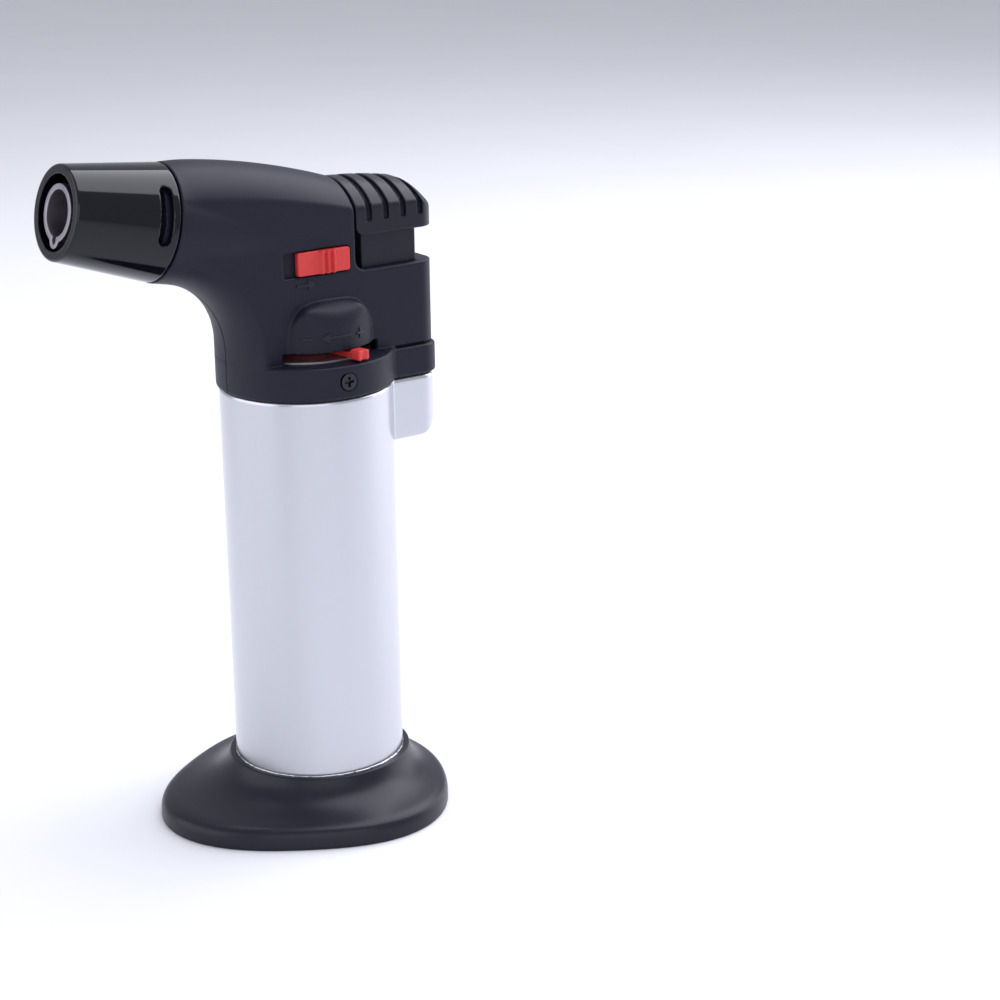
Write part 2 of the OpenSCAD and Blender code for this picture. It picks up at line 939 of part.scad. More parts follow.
module trigger() {
    wedge_x = pivot_x - 0.8 - 0.4;
    wedge_slope = (valve_lift / pivot_x) * (arm_top - pivot_z) / trigger_travel;
    wedge_z = stem_bottom - 1.6;
    wedge_top = cap_z + 2;
    color(black)
        difference() {
            union() {
                difference() {
                    skin([for (x = cap_stations) cap_ring(x)]);
                    finger_grooves();
                }
                translate([stem_x0, -stem_half_w, stem_bottom])
                    cube([stem_x1 - stem_x0, 2 * stem_half_w, cap_z - stem_bottom + 1]);
                rotate([90, 0, 0])
                    linear_extrude(3.2, center = true)
                        polygon([
                            [stem_x0, wedge_z],
                            [wedge_x, wedge_z],
                            [wedge_x + (wedge_top - wedge_z) * wedge_slope, wedge_top],
                            [stem_x0, wedge_top]
                        ]);
            }
            for (side = [-1, 1])
                scale([1, side, 1])
                    translate([stem_x0 + stem_wall, 1.6, stem_bottom - 3])
                        cube([piezo_x - 1.6 - stem_x0 - stem_wall, stem_half_w - stem_wall - 1.6, cap_z - stem_bottom + 5.5]);
            translate([wedge_x + 4, -2, stem_bottom - 3])
                cube([piezo_x - 1.6 - wedge_x - 4, 4, cap_z - stem_bottom + 5.5]);
            rotate([90, 0, 0])
                linear_extrude(4, center = true)
                    polygon([
                        [wedge_x, wedge_z - 2],
                        [wedge_x + (wedge_top - wedge_z) * wedge_slope, wedge_top],
                        [wedge_x + 5, wedge_top],
                        [wedge_x + 5, wedge_z - 2]
                    ]);
        }
}

// ---- Lock slider ---------------------------------------------------------------------------------

module lock_slider() {
    face = half_w + 0.4;
    floor_y = half_w - lock_recess + fit;
    color(red)
        union() {
            translate([lock_x0, -face, lock_z - lock_h / 2])
                cube([lock_len, face - floor_y, lock_h]);
            translate([grip_x - grip_w / 2, -face - 0.9, lock_z - lock_h / 2 + fit])
                cube([grip_w, 1.2, lock_h - 2 * fit]);
            for (k = [-1:1])
                translate([grip_x + k * 1.3, -face - 0.9, lock_z - lock_h / 2 + 0.2])
                    cylinder(r = 0.42, h = lock_h - 0.4, $fn = 24);
            translate([grip_x - 2, -floor_y - fit, lock_z - 1.25])
                cube([4, 1.5, 2.5]);
        }
}

module lock_retainer() {
    inside = half_w - shell_wall - run;
    color(steel)
        difference() {
            translate([grip_x - 4.5, -inside, lock_z - 2.6])
                cube([well_x - grip_x + 4.5, 0.7, 5.2]);
            translate([grip_x - 2 - fit, -inside - 1, lock_z - 1.25 - fit])
                cube([4 + 2 * fit, 1 + inside + 1.5 + fit - half_w + lock_recess + fit, 2.5 + 2 * fit]);
        }
}

// ---- Head shells ---------------------------------------------------------------------------------

arc_steps = 20;
neck_front_r = collar_r - seam;
neck_radius_end = barrel_rear_r;

function crown_ridge(x) = crown_top - pow(x - crown_peak_x, 2) / (2 * crown_r);
function crown_crease(x) = crown_top - crease_drop - pow(x - crown_peak_x, 2) / (2 * crease_r);

// D-shaped section of the neck: distance out from the bend's hinge line, and y
function neck_section(r, inset) =
    let (half = half_w - inset, rr = r - inset)
        concat(
            [[bend_r + neck_depth, half], [bend_r + neck_depth, -half]],
            [
                for (k = [-arc_steps / 2:arc_steps / 2])
                    let (y = half * (k * 2 / arc_steps)) [bend_r + seam + inset + rr - sqrt(rr * rr - y * y), y]
            ]
        );

function bent(section, deg, shift) = [
    for (p = section)
        [
            bend_x + p[0] * cos(deg) - shift * cos(barrel_tilt),
            p[1],
            bend_z + p[0] * sin(deg) + shift * sin(barrel_tilt)
        ]
];

module neck(inset) {
    low = [for (p = neck_section(neck_front_r, inset)) [bend_x + p[0], p[1], ledge_z - (inset > 0 ? 3 : 0.3)]];
    front = arm_straight - (inset > 0 ? 2 : 0);
    bend_rings = [
        for (k = [0:12])
            let (share = k / 12, r = neck_front_r + (neck_radius_end - neck_front_r) * share)
                bent(neck_section(r, inset), bend_deg * share, 0)
    ];
    skin(concat([low], bend_rings, [bent(neck_section(neck_radius_end, inset), bend_deg, front)]));
}

// Arched section of the crown: the first ring lies in the barrel's joint plane, the others are upright
module crown(inset) {
    half = half_w - inset;
    x1 = well_x - inset;
    back = inset > 0 ? 2.03 : 0.03;
    rr = barrel_rear_r - inset;
    first = [
        for (p = concat(
            [[half, -5], [-half, -5]],
            [for (k = [-10:10]) let (y = half * (k / 10)) [y, sqrt(rr * rr - y * y)]]
        ))
            [
                arm_x + back * cos(barrel_tilt) + p[1] * sin(barrel_tilt),
                p[0],
                arm_z - back * sin(barrel_tilt) + p[1] * cos(barrel_tilt)
            ]
    ];
    x0 = arm_x + 4.2 + back;
    skin(concat(
        [first],
        [
            for (j = [0:9])
                let (
                    x = x0 + (x1 - x0) * j / 9,
                    top = crown_ridge(x) - inset,
                    sag = top - crown_crease(x),
                    r = (half * half + sag * sag) / (2 * sag)
                )
                    concat(
                        [[x, half, crown_base], [x, -half, crown_base]],
                        [for (k = [-10:10]) let (y = half * (k / 10)) [x, y, top - r + sqrt(r * r - y * y)]]
                    )
        ]
    ));
}

// Flat-sided middle of the head; it stands a hair inside the neck and the crown, so no two faces coincide
module slab(inset) {
    depth = bend_r + slab_depth;
    corner = 2;
    floor_z = well_z - inset;
    front_x = well_x - inset - seam;
    low = ledge_z - (inset > 0 ? 3 : 0.3) + seam;
    intersection() {
        rotate([90, 0, 0])
            linear_extrude(head_w + 4, center = true)
                polygon(concat(
                    [for (k = [8:-1:0]) [bend_x + depth * cos(bend_deg * k / 8), bend_z + depth * sin(bend_deg * k / 8)]],
                    [[bend_x + depth, low], [rear_x + 5, low], [rear_x + 5, floor_z]],
                    [for (k = [0:5]) [front_x + corner - corner * sin(k * 18), floor_z + corner - corner * cos(k * 18)]],
                    [[front_x, crown_base + 2]]
                ));
        translate([0, 0, low - 1])
            linear_extrude(60)
                polygon(rear_outline(bend_x, rear_x - inset, half_w - inset - seam, rear_corner - inset));
    }
}

// Bulge over the flame lever, on one side only
module dome(inset) {
    r = dome_r - inset;
    base = ledge_z + slot_h - (inset > 0 ? 1 : 0);
    intersection() {
        translate([0, 0, base])
            cylinder(r = r, h = dome_h);
        translate([0, -half_w + 3.6, ledge_z + dome_h - 10.1])
            rotate([0, 90, 0])
                cylinder(r = 10.1 - inset, h = 60, center = true);
        translate([0, -half_w + 4, ledge_z + dome_h - inset])
            rotate([90, 0, 0])
                linear_extrude(r)
                    dome_outline(inset);
    }
}

// Upright D outline of the bulge, with its top edge at the origin
module dome_outline(inset) {
    half = 11.3 - inset;
    corner = 6;
    translate([-half, -20])
        square([2 * half, 20 - corner]);
    translate([-half + corner, -20])
        square([2 * (half - corner), 20]);
    for (side = [-1, 1])
        translate([side * (half - corner), -corner])
            circle(corner);
}

module collar() {
    rotate_extrude()
        polygon([
            [neck_r - 1, collar_z],
            [collar_r, collar_z],
            [collar_r, ledge_z],
            [ledge_bore_r - 1, ledge_z],
            [ledge_bore_r - 1, ledge_z - ledge_t],
            [neck_r - 1, ledge_z - ledge_t]
        ]);
}

module half_space(side) {
    translate([-100, side < 0 ? -50 : 0, 0])
        cube([200, 50, 200]);
}

// Hollow shell above the collar
module head_skin() {
    difference() {
        union() {
            slab(0);
            neck(0);
            crown(0);
        }
        slab(shell_wall);
        neck(shell_wall);
        crown(shell_wall);
    }
}

// Collar with the rear block over the lug
module head_base() {
    difference() {
        union() {
            collar();
            translate([0, 0, collar_z + seam])
                linear_extrude(block_h - seam)
                    polygon(rear_outline(5, block_x, block_half_w, rear_corner));
        }
        translate([0, 0, collar_z - 1])
            linear_extrude(ledge_h + 2)
                polygon(rear_outline(4, block_x - 2.4, half_w - shell_wall - 0.4, 2));
        translate([0, 0, collar_z - 1])
            cylinder(r = neck_r + 0.1, h = ledge_h - ledge_t + 1);
        translate([0, 0, collar_z - 1])
            cylinder(r = ledge_bore_r, h = ledge_h + 2);
    }
}

// One half of the hollow head, with half of the spigot that carries the barrel
module head_half(side) {
    joined()
        intersection() {
            difference() {
                union() {
                    head_skin();
                    head_base();
                    on_nozzle(barrel_len)
                        translate([0, 0, -3])
                            cylinder(r = barrel_rear_r - 1.9, h = 4);
                }
                on_nozzle(barrel_len - 4)
                    linear_extrude(8)
                        keyhole(burner_r + slip, 1.95 + slip, spark_drop - 0.3);
                translate([0, 0, collar_z + 1])
                    cylinder(r = ledge_bore_r - 0.02, h = plate_top + 0.25 - collar_z - 1);
            }
            half_space(side);
        }
}

// Posts for the pin and the screws, from the parting plane out to the shell
module head_posts(side) {
    wall = half_w - shell_wall + 0.5;
    scale([1, side, 1]) {
        difference() {
            across(pivot_x, pivot_z, 2.8, wall, post_r);
            across(pivot_x, pivot_z, 2, half_w - 3, pivot_r + fit);
        }
        for (p = shell_screws)
            across(p[0], p[1], 0, wall, boss_r);
    }
}

// Openings that both shells share
module head_cuts() {
    translate([stem_x0 - slip, -stem_half_w - slip, stem_bottom - trigger_travel - 0.5])
        cube([stem_x1 - stem_x0 + 2 * slip, 2 * (stem_half_w + slip), trigger_travel + stem_drop + 4.5]);
    for (side = [-1, 1])
        scale([1, side, 1]) {
            across(screw_x, screw_z, neck_r - 2, collar_r + 2, screw_shank_r + fit);
            across(screw_x, screw_z, collar_r - 1.3, collar_r + 2, screw_head_r + slip);
        }
}

module right_cuts() {
    reach = lock_travel + 0.3;
    translate([-slot_half, -collar_r - 1, ledge_z])
        cube([2 * slot_half, collar_r - 4, slot_h]);
    translate([lock_x0 - reach, -half_w - 1, lock_z - lock_h / 2 - 0.15])
        cube([lock_len + reach + 0.25, 1 + lock_recess, lock_h + 0.3]);
    translate([grip_x - 2 - reach, -half_w, lock_z - 1.4])
        cube([4 + reach + 0.3, 4, 2.8]);
    translate([well_x - 5, -half_w + shell_wall, lock_z - 2.9])
        cube([5.5, 1.3, 5.8]);
    for (p = shell_screws)
        across(p[0], p[1], -6, 1, screw_shank_r + fit);
}

module left_cuts() {
    for (p = shell_screws) {
        across(p[0], p[1], -1, half_w + 1, screw_shank_r + fit);
        across(p[0], p[1], half_w - 1.6, half_w + 1, screw_head_r + slip);
    }
}

module right_housing() {
    color(black)
        difference() {
            union() {
                head_half(-1);
                dome(0);
                head_posts(-1);
            }
            dome(shell_wall);
            head_cuts();
            right_cuts();
        }
}

module left_housing() {
    color(black)
        difference() {
            union() {
                head_half(1);
                head_posts(1);
            }
            head_cuts();
            left_cuts();
        }
}

// ---- Fasteners -----------------------------------------------------------------------------------

// Cross-headed screw along Y, its head's face at y = 0 and its shank towards +Y
module screw(shank) {
    difference() {
        union() {
            across(0, 0, 0, 1.1, screw_head_r);
            across(0, 0, 1, 1 + shank, screw_shank_r);
        }
        for (a = [0, 90])
            rotate([0, a, 0])
                translate([-1.2, -1, -0.3])
                    cube([2.4, 1.7, 0.6]);
    }
}

module collar_screws() {
    color(black)
        for (side = [-1, 1])
            scale([1, side, 1])
                translate([screw_x, collar_r - 0.1, screw_z])
                    scale([1, -1, 1])
                        screw(2.4);
}

module housing_screws() {
    color(black)
        for (p = shell_screws)
            translate([p[0], half_w - 0.4, p[1]])
                scale([1, -1, 1])
                    screw(half_w + 3.5);
}

foot();
fuel_tank();
tank_lid();
refill_valve_body();
refill_stem();
refill_spring();
refill_seal();
valve_body();
valve_stem();
valve_spring();
valve_seal();
inlet_filter();
valve_cover_plate();
adjuster_wheel();
flame_lever();
gas_lever();
gas_lever_pin();
gas_hose();
gas_jet();
burner_tube();
flame_holder();
barrel();
electrode();
electrode_insulator();
ignition_lead();
piezo_body();
piezo_plunger();
piezo_spring();
trigger();
lock_slider();
lock_retainer();
right_housing();
left_housing();
collar_screws();
housing_screws();
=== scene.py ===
"""Table-top butane torch: moulded and painted pieces round the working frame, with studio floor, light and camera."""

import logging
import math
from dataclasses import dataclass, field
from enum import Enum
from typing import Any, Callable, Sequence

import bpy
import numpy as np
from mathutils import Matrix, Vector


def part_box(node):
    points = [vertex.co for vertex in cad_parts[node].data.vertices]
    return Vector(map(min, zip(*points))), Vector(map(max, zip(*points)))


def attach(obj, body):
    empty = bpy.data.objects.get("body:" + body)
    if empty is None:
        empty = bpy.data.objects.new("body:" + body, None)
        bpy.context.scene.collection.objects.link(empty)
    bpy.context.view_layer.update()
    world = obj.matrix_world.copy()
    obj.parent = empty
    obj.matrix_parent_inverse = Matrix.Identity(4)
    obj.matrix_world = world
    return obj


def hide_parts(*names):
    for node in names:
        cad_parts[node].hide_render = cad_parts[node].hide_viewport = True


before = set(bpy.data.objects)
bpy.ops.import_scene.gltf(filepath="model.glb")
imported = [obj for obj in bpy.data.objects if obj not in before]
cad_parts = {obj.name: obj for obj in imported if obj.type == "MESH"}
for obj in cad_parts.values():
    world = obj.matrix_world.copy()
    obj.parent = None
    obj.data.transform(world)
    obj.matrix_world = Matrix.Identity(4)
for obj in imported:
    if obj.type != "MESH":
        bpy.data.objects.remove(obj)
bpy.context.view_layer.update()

LOG = logging.getLogger("torch")
MM = 0.001

Array = np.ndarray
Field = Callable[[Array, Array, Array], Array]


# ---- Solid fields: negative inside, millimetres ---------------------------------------------------


def smax(a: Array, b: Array, radius: float) -> Array:
    """Intersection of two fields with its edge rounded.

    Args:
        a: First field.
        b: Second field.
        radius: Width over which the edge is rounded.

    Returns:
        The rounded intersection.
    """
    blend = np.maximum(radius - np.abs(a - b), 0.0)
    return np.maximum(a, b) + blend * blend / (4.0 * radius)


def smin(a: Array, b: Array, radius: float) -> Array:
    """Union of two fields with its inner corner filled.

    Args:
        a: First field.
        b: Second field.
        radius: Width over which the corner is filled.

    Returns:
        The filleted union.
    """
    return -smax(-a, -b, radius)


def rounded_rect(u: Array, v: Array, half_u: float, half_v: float, corner: float) -> Array:
    """Field of a rectangle with rounded corners, centred on the origin.

    Args:
        u: First coordinate.
        v: Second coordinate.
        half_u: Half size along the first coordinate.
        half_v: Half size along the second coordinate.
        corner: Corner radius.

    Returns:
        Distance to the outline, negative inside.
    """
    qu = np.abs(u) - (half_u - corner)
    qv = np.abs(v) - (half_v - corner)
    return np.hypot(np.maximum(qu, 0.0), np.maximum(qv, 0.0)) + np.minimum(np.maximum(qu, qv), 0.0) - corner


def slab_between(z: Array, low: float, high: float) -> Array:
    """Field of the layer between two levels."""
    return np.maximum(low - z, z - high)


@dataclass
class NetMesher:
    """Turns a field into a closed quad mesh whose points lie on the surface.

    Attributes:
        solid: The field.
        axes: Grid lines along X, Y and Z, in millimetres.
    """

    solid: Field
    axes: tuple[Array, Array, Array]

    def gradient(self, points: Array) -> Array:
        """Slope of the field at each point."""
        step = 0.02
        out = np.empty_like(points)
        for axis in range(3):
            ahead, behind = points.copy(), points.copy()
            ahead[:, axis] += step
            behind[:, axis] -= step
            out[:, axis] = (self.solid(*ahead.T) - self.solid(*behind.T)) / (2.0 * step)
        return out

    def build(self) -> tuple[Array, Array, Array]:
        """Meshes the zero level of the field.

        Returns:
            Points, quads and normals.
        """
        grid = np.meshgrid(*self.axes, indexing="ij")
        values = self.solid(*grid)
        inside = values < 0.0
        shape = values.shape
        cell_ids: list[Array] = []
        crossings: list[Array] = []
        quads: list[Array] = []
        for axis in range(3):
            second, third = (axis + 1) % 3, (axis + 2) % 3
            low = [slice(None)] * 3
            high = [slice(None)] * 3
            low[axis], high[axis] = slice(0, -1), slice(1, None)
            changed = inside[tuple(low)] != inside[tuple(high)]
            index = np.array(np.nonzero(changed))
            keep = np.ones(index.shape[1], dtype=bool)
            for other in (second, third):
                keep &= (index[other] > 0) & (index[other] < shape[other] - 1)
            index = index[:, keep]
            ahead = index.copy()
            ahead[axis] += 1
            f0, f1 = values[tuple(index)], values[tuple(ahead)]
            share = f0 / (f0 - f1)
            point = np.stack([self.axes[a][index[a]] for a in range(3)], axis=1)
            line = self.axes[axis]
            point[:, axis] += share * (line[ahead[axis]] - line[index[axis]])
            ring = []
            for du, dv in ((1, 1), (0, 1), (0, 0), (1, 0)):
                cell = index.copy()
                cell[second] -= du
                cell[third] -= dv
                ring.append((cell[0] * shape[1] + cell[1]) * shape[2] + cell[2])
            quad = np.stack(ring, axis=1)
            facing = f0 < 0.0
            quad[~facing] = quad[~facing][:, ::-1]
            quads.append(quad)
            cell_ids.append(np.concatenate(ring))
            crossings.append(np.tile(point, (4, 1)))
        ids = np.concatenate(cell_ids)
        points = np.concatenate(crossings)
        used, slot_of = np.unique(ids, return_inverse=True)
        count = np.bincount(slot_of)
        verts = np.stack([np.bincount(slot_of, points[:, a]) / count for a in range(3)], axis=1)
        faces = np.searchsorted(used, np.concatenate(quads))
        for _ in range(3):
            slope = self.gradient(verts)
            size = np.maximum((slope**2).sum(axis=1), 0.05)
            move = -self.solid(*verts.T)[:, None] * slope / size[:, None]
            verts += np.clip(move, -0.3, 0.3)
        slope = self.gradient(verts)
        normals = slope / np.maximum(np.linalg.norm(slope, axis=1, keepdims=True), 1e-9)
        return verts, faces, normals


def lines(low: float, high: float, step: float) -> Array:
    """Evenly spaced grid lines that run a little past both ends."""
    count = int(math.ceil((high - low) / step)) + 2
    return low - step * 0.73 + np.arange(count + 1) * step


def ring_faces(rings: int, around: int) -> Array:
    """Quads between closed rings of points, the last ring joined to the first.

    Args:
        rings: Number of rings.
        around: Points in each ring.

    Returns:
        The quads.
    """
    i = np.arange(around)
    j = (i + 1) % around
    bands = []
    for r in range(rings):
        this, other = r * around, (r + 1) % rings * around
        bands.append(np.stack([this + i, this + j, other + j, other + i], axis=1))
    return np.concatenate(bands)


def graded_lines(stops: Sequence[tuple[float, float]], end: float) -> Array:
    """Grid lines with a step for each stretch.

    Args:
        stops: Where each stretch starts and the step it has.
        end: Where the last stretch ends.

    Returns:
        The grid lines.
    """
    out: list[float] = []
    for i, (start, step) in enumerate(stops):
        finish = stops[i + 1][0] if i + 1 < len(stops) else end
        count = max(1, round((finish - start) / step))
        out += [start + (finish - start) * k / count for k in range(count)]
    return np.array(out + [end])


# ---- Finishes -------------------------------------------------------------------------------------


class Wire:
    """A shader socket that does maths: an expression on wires adds Math nodes."""

    def __init__(self, tree: "Shader", socket: Any) -> None:
        """Wraps a socket of a tree."""
        self.tree = tree
        self.socket = socket

    def _math(self, operation: str, first: Any, second: Any) -> "Wire":
        """One Math node."""
        return self.tree.node("ShaderNodeMath", {"operation": operation}, {0: first, 1: second})

    def __add__(self, other: Any) -> "Wire":
        """Sum."""
        return self._math("ADD", self, other)

    def __radd__(self, other: Any) -> "Wire":
        """Sum."""
        return self._math("ADD", other, self)

    def __sub__(self, other: Any) -> "Wire":
        """Difference."""
        return self._math("SUBTRACT", self, other)

    def __rsub__(self, other: Any) -> "Wire":
        """Difference."""
        return self._math("SUBTRACT", other, self)

    def __mul__(self, other: Any) -> "Wire":
        """Product."""
        return self._math("MULTIPLY", self, other)

    def __rmul__(self, other: Any) -> "Wire":
        """Product."""
        return self._math("MULTIPLY", other, self)


class Shader:
    """Builds the nodes of one material."""

    def __init__(self, name: str) -> None:
        """Starts a material with only its shader and output."""
        self.material = bpy.data.materials.new(name)
        self.material.use_nodes = True
        self.tree = self.material.node_tree
        self.surface = self.tree.nodes["Principled BSDF"]

    def node(self, kind: str, settings: dict[str, Any], inputs: dict[Any, Any], output: int | str = 0) -> Wire:
        """Adds one node.

        Args:
            kind: The node's type.
            settings: Properties set first; a ramp's stops go under "stops".
            inputs: Values or wires by socket name or number.
            output: Which output is wanted.

        Returns:
            The wanted output.
        """
        made = self.tree.nodes.new(kind)
        for key, value in settings.items():
            if key == "stops":
                ramp = made.color_ramp
                while len(ramp.elements) < len(value):
                    ramp.elements.new(0.5)
                for element, (place, shade) in zip(ramp.elements, value):
                    element.position = place
                    element.color = (*shade, 1.0) if len(shade) == 3 else shade
            else:
                setattr(made, key, value)
        for key, value in inputs.items():
            self.feed(made.inputs[key], value)
        return Wire(self, made.outputs[output])

    def feed(self, socket: Any, value: Any) -> None:
        """Links a wire to a socket, or sets its value."""
        if isinstance(value, Wire):
            self.tree.links.new(value.socket, socket)
        elif isinstance(value, tuple) and len(value) == 3 and socket.type == "RGBA":
            socket.default_value = (*value, 1.0)
        else:
            socket.default_value = value

    def place(self) -> Wire:
        """Object coordinates in millimetres."""
        here = self.node("ShaderNodeTexCoord", {}, {}, "Object")
        return self.node("ShaderNodeVectorMath", {"operation": "SCALE"}, {0: here, "Scale": 1000.0})

    def noise(self, where: Wire, scale: float, detail: float = 3.0, roughness: float = 0.5) -> Wire:
        """Noise from 0 to 1 over millimetres."""
        return self.node(
            "ShaderNodeTexNoise", {}, {"Vector": where, "Scale": scale, "Detail": detail, "Roughness": roughness}, "Fac"
        )

    def stretched(self, where: Wire, by: tuple[float, float, float]) -> Wire:
        """Coordinates stretched along the axes."""
        return self.node("ShaderNodeVectorMath", {"operation": "MULTIPLY"}, {0: where, 1: by})

    def mix(self, share: Any, first: Any, second: Any) -> Wire:
        """Mixes two colours."""
        return self.node(
            "ShaderNodeMix", {"data_type": "RGBA"}, {"Factor": share, 6: first, 7: second}, 2
        )

    def bump(self, height: Wire, strength: float, distance_mm: float) -> None:
        """Relief from a height."""
        normal = self.node(
            "ShaderNodeBump", {}, {"Height": height, "Strength": strength, "Distance": distance_mm * MM}, "Normal"
        )
        self.feed(self.surface.inputs["Normal"], normal)

    def settings(self, **values: Any) -> None:
        """Sets or links the shader's own sockets; underscores stand for spaces."""
        for key, value in values.items():
            self.feed(self.surface.inputs[key.replace("_", " ")], value)


@dataclass(frozen=True)
class GrainedPlastic:
    """Moulded plastic with a fine spark-eroded grain and a painted highlight: the grain's high spots are painted paler.

    Attributes:
        name: Material name.
        colour: Base colour.
        pale: Paler colour painted on the grain's high spots, a painted highlight for the glints on the grain.
        rough: Mean roughness.
        grain: Height of the grain in millimetres.
        grain_scale: Grains per millimetre.
        specular: Specular level.
    """

    name: str
    colour: tuple[float, float, float]
    pale: tuple[float, float, float]
    rough: float
    grain: float
    grain_scale: float
    specular: float = 0.5

    def make(self) -> bpy.types.Material:
        """The finished material."""
        shader = Shader(self.name)
        where = shader.place()
        fine = shader.noise(where, self.grain_scale, 2.0, 0.6)
        broad = shader.noise(where, 0.09, 4.0)
        dust = shader.node(
            "ShaderNodeMapRange", {}, {"Value": shader.noise(where, 1.7, 5.0, 0.7), "From Min": 0.62, "From Max": 0.8}
        )
        # Painted highlight: the noise that raises the grain also paints its high spots paler, like glints on the grain
        # tops.
        grain_colour_with_painted_glints = shader.mix(fine, self.colour, self.pale)
        shader.settings(
            Base_Color=shader.mix(dust * 0.12, grain_colour_with_painted_glints, (0.22, 0.22, 0.24)),
            Roughness=self.rough + (broad - 0.5) * 0.12 + (fine - 0.5) * 0.16,
            Specular_IOR_Level=self.specular,
        )
        shader.bump(fine, 0.55, self.grain)
        return shader.material


@dataclass(frozen=True)
class SatinPaint:
    """Metallic paint under a thin satin lacquer."""

    name: str
    colour: tuple[float, float, float]
    flake: tuple[float, float, float]
    rough: float

    def make(self) -> bpy.types.Material:
        """The finished material."""
        shader = Shader(self.name)
        where = shader.place()
        flakes = shader.noise(where, 9.0, 1.0, 0.8)
        orange_peel = shader.noise(where, 0.8, 2.0)
        scuffs = shader.noise(shader.stretched(where, (1.0, 1.0, 0.06)), 1.6, 5.0, 0.65)
        rub = shader.node("ShaderNodeMapRange", {}, {"Value": scuffs, "From Min": 0.6, "From Max": 0.85})
        shader.settings(
            Base_Color=shader.mix(flakes, self.colour, self.flake),
            Metallic=0.9,
            Roughness=self.rough + (flakes - 0.5) * 0.1 + rub * 0.08,
            Coat_Weight=0.25,
            Coat_Roughness=0.22,
        )
        shader.bump(flakes * 0.35 + orange_peel, 0.18, 0.012)
        return shader.material


@dataclass(frozen=True)
class GlossLacquer:
    """Deep glossy moulding or enamel."""

    name: str
    colour: tuple[float, float, float]
    rough: float

    def make(self) -> bpy.types.Material:
        """The finished material."""
        shader = Shader(self.name)
        where = shader.place()
        haze = shader.noise(where, 0.35, 4.0)
        specks = shader.node(
            "ShaderNodeMapRange", {}, {"Value": shader.noise(where, 3.1, 4.0, 0.7), "From Min": 0.66, "From Max": 0.8}
        )
        shader.settings(
            Base_Color=shader.mix(specks * 0.2, self.colour, (0.16, 0.16, 0.18)),
            Roughness=self.rough + haze * 0.05 + specks * 0.12,
            Specular_IOR_Level=0.3,
            Coat_Weight=0.1,
            Coat_Roughness=0.04,
        )
        shader.bump(haze, 0.06, 0.01)
        return shader.material


@dataclass(frozen=True)
class BareMetal:
    """Turned, drawn or stamped metal with its tool marks."""

    name: str
    colour: tuple[float, float, float]
    dull: tuple[float, float, float]
    rough: float
    lay: tuple[float, float, float] = (1.0, 1.0, 8.0)

    def make(self) -> bpy.types.Material:
        """The finished material."""
        shader = Shader(self.name)
        where = shader.place()
        marks = shader.noise(shader.stretched(where, self.lay), 2.2, 4.0, 0.6)
        stain = shader.noise(where, 0.22, 5.0, 0.6)
        shader.settings(
            Base_Color=shader.mix(stain, self.colour, self.dull),
            Metallic=1.0,
            Roughness=self.rough + (marks - 0.5) * 0.18 + (stain - 0.5) * 0.12,
        )
        shader.bump(marks, 0.25, 0.012)
        return shader.material


@dataclass(frozen=True)
class Soft:
    """Plain plastic, rubber or ceramic with a faint mottling."""

    name: str
    colour: tuple[float, float, float]
    rough: float
    scale: float = 1.2

    def make(self) -> bpy.types.Material:
        """The finished material."""
        shader = Shader(self.name)
        where = shader.place()
        cloud = shader.noise(where, self.scale, 4.0)
        shade = tuple(c * 0.72 for c in self.colour)
        shader.settings(
            Base_Color=shader.mix(cloud, self.colour, shade),
            Roughness=self.rough + (cloud - 0.5) * 0.15,
        )
        shader.bump(cloud, 0.15, 0.02)
        return shader.material


class Finish(Enum):
    """Every finish on the torch."""

    HEAD = GrainedPlastic("head_plastic", (0.003, 0.0035, 0.01), (0.009, 0.01, 0.023), 0.47, 0.03, 3.6, 0.24)
    CAP = GrainedPlastic("trigger_plastic", (0.003, 0.0035, 0.009), (0.009, 0.01, 0.02), 0.38, 0.02, 3.6, 0.3)
    FOOT = GrainedPlastic("foot_plastic", (0.003, 0.0035, 0.008), (0.011, 0.012, 0.022), 0.34, 0.045, 2.6, 0.3)
    TANK = SatinPaint("tank_silver", (0.47, 0.475, 0.51), (0.62, 0.625, 0.67), 0.24)
    BARREL = GlossLacquer("barrel_gloss_black", (0.002, 0.0022, 0.005), 0.06)
    RED = GrainedPlastic("control_red", (0.5, 0.022, 0.022), (0.62, 0.04, 0.036), 0.42, 0.008, 4.0, 0.45)
    STEEL = BareMetal("stamped_steel", (0.62, 0.62, 0.65), (0.4, 0.4, 0.43), 0.26)
    CHIPPED = BareMetal("chipped_edge", (0.9, 0.9, 0.92), (0.25, 0.25, 0.28), 0.2, (1.0, 1.0, 3.0))
    PLATE = BareMetal("zinc_plate", (0.7, 0.7, 0.72), (0.5, 0.5, 0.53), 0.42)
    TUBE = BareMetal("burner_steel", (0.42, 0.38, 0.42), (0.22, 0.2, 0.24), 0.42)
    SPRING = BareMetal("spring_wire", (0.45, 0.46, 0.48), (0.3, 0.3, 0.32), 0.3)
    BRASS = BareMetal("turned_brass", (0.78, 0.56, 0.25), (0.5, 0.33, 0.13), 0.28)
    SCREW = BareMetal("black_oxide_screw", (0.06, 0.06, 0.07), (0.03, 0.03, 0.035), 0.32)
    CERAMIC = Soft("glazed_ceramic", (0.82, 0.8, 0.75), 0.25)
    WHITE = Soft("white_plastic", (0.74, 0.74, 0.72), 0.45)
    RUBBER = Soft("black_rubber", (0.02, 0.02, 0.021), 0.6)
    HOSE = Soft("gas_hose_skin", (0.66, 0.64, 0.54), 0.4)
    LEAD = Soft("lead_insulation", (0.42, 0.03, 0.03), 0.38)
    UNIT = Soft("spark_unit_case", (0.03, 0.03, 0.033), 0.45)

    def material(self) -> bpy.types.Material:
        """The material, made on first use."""
        made = bpy.data.materials.get(self.value.name)
        return made or self.value.make()


# ---- Pieces ---------------------------------------------------------------------------------------


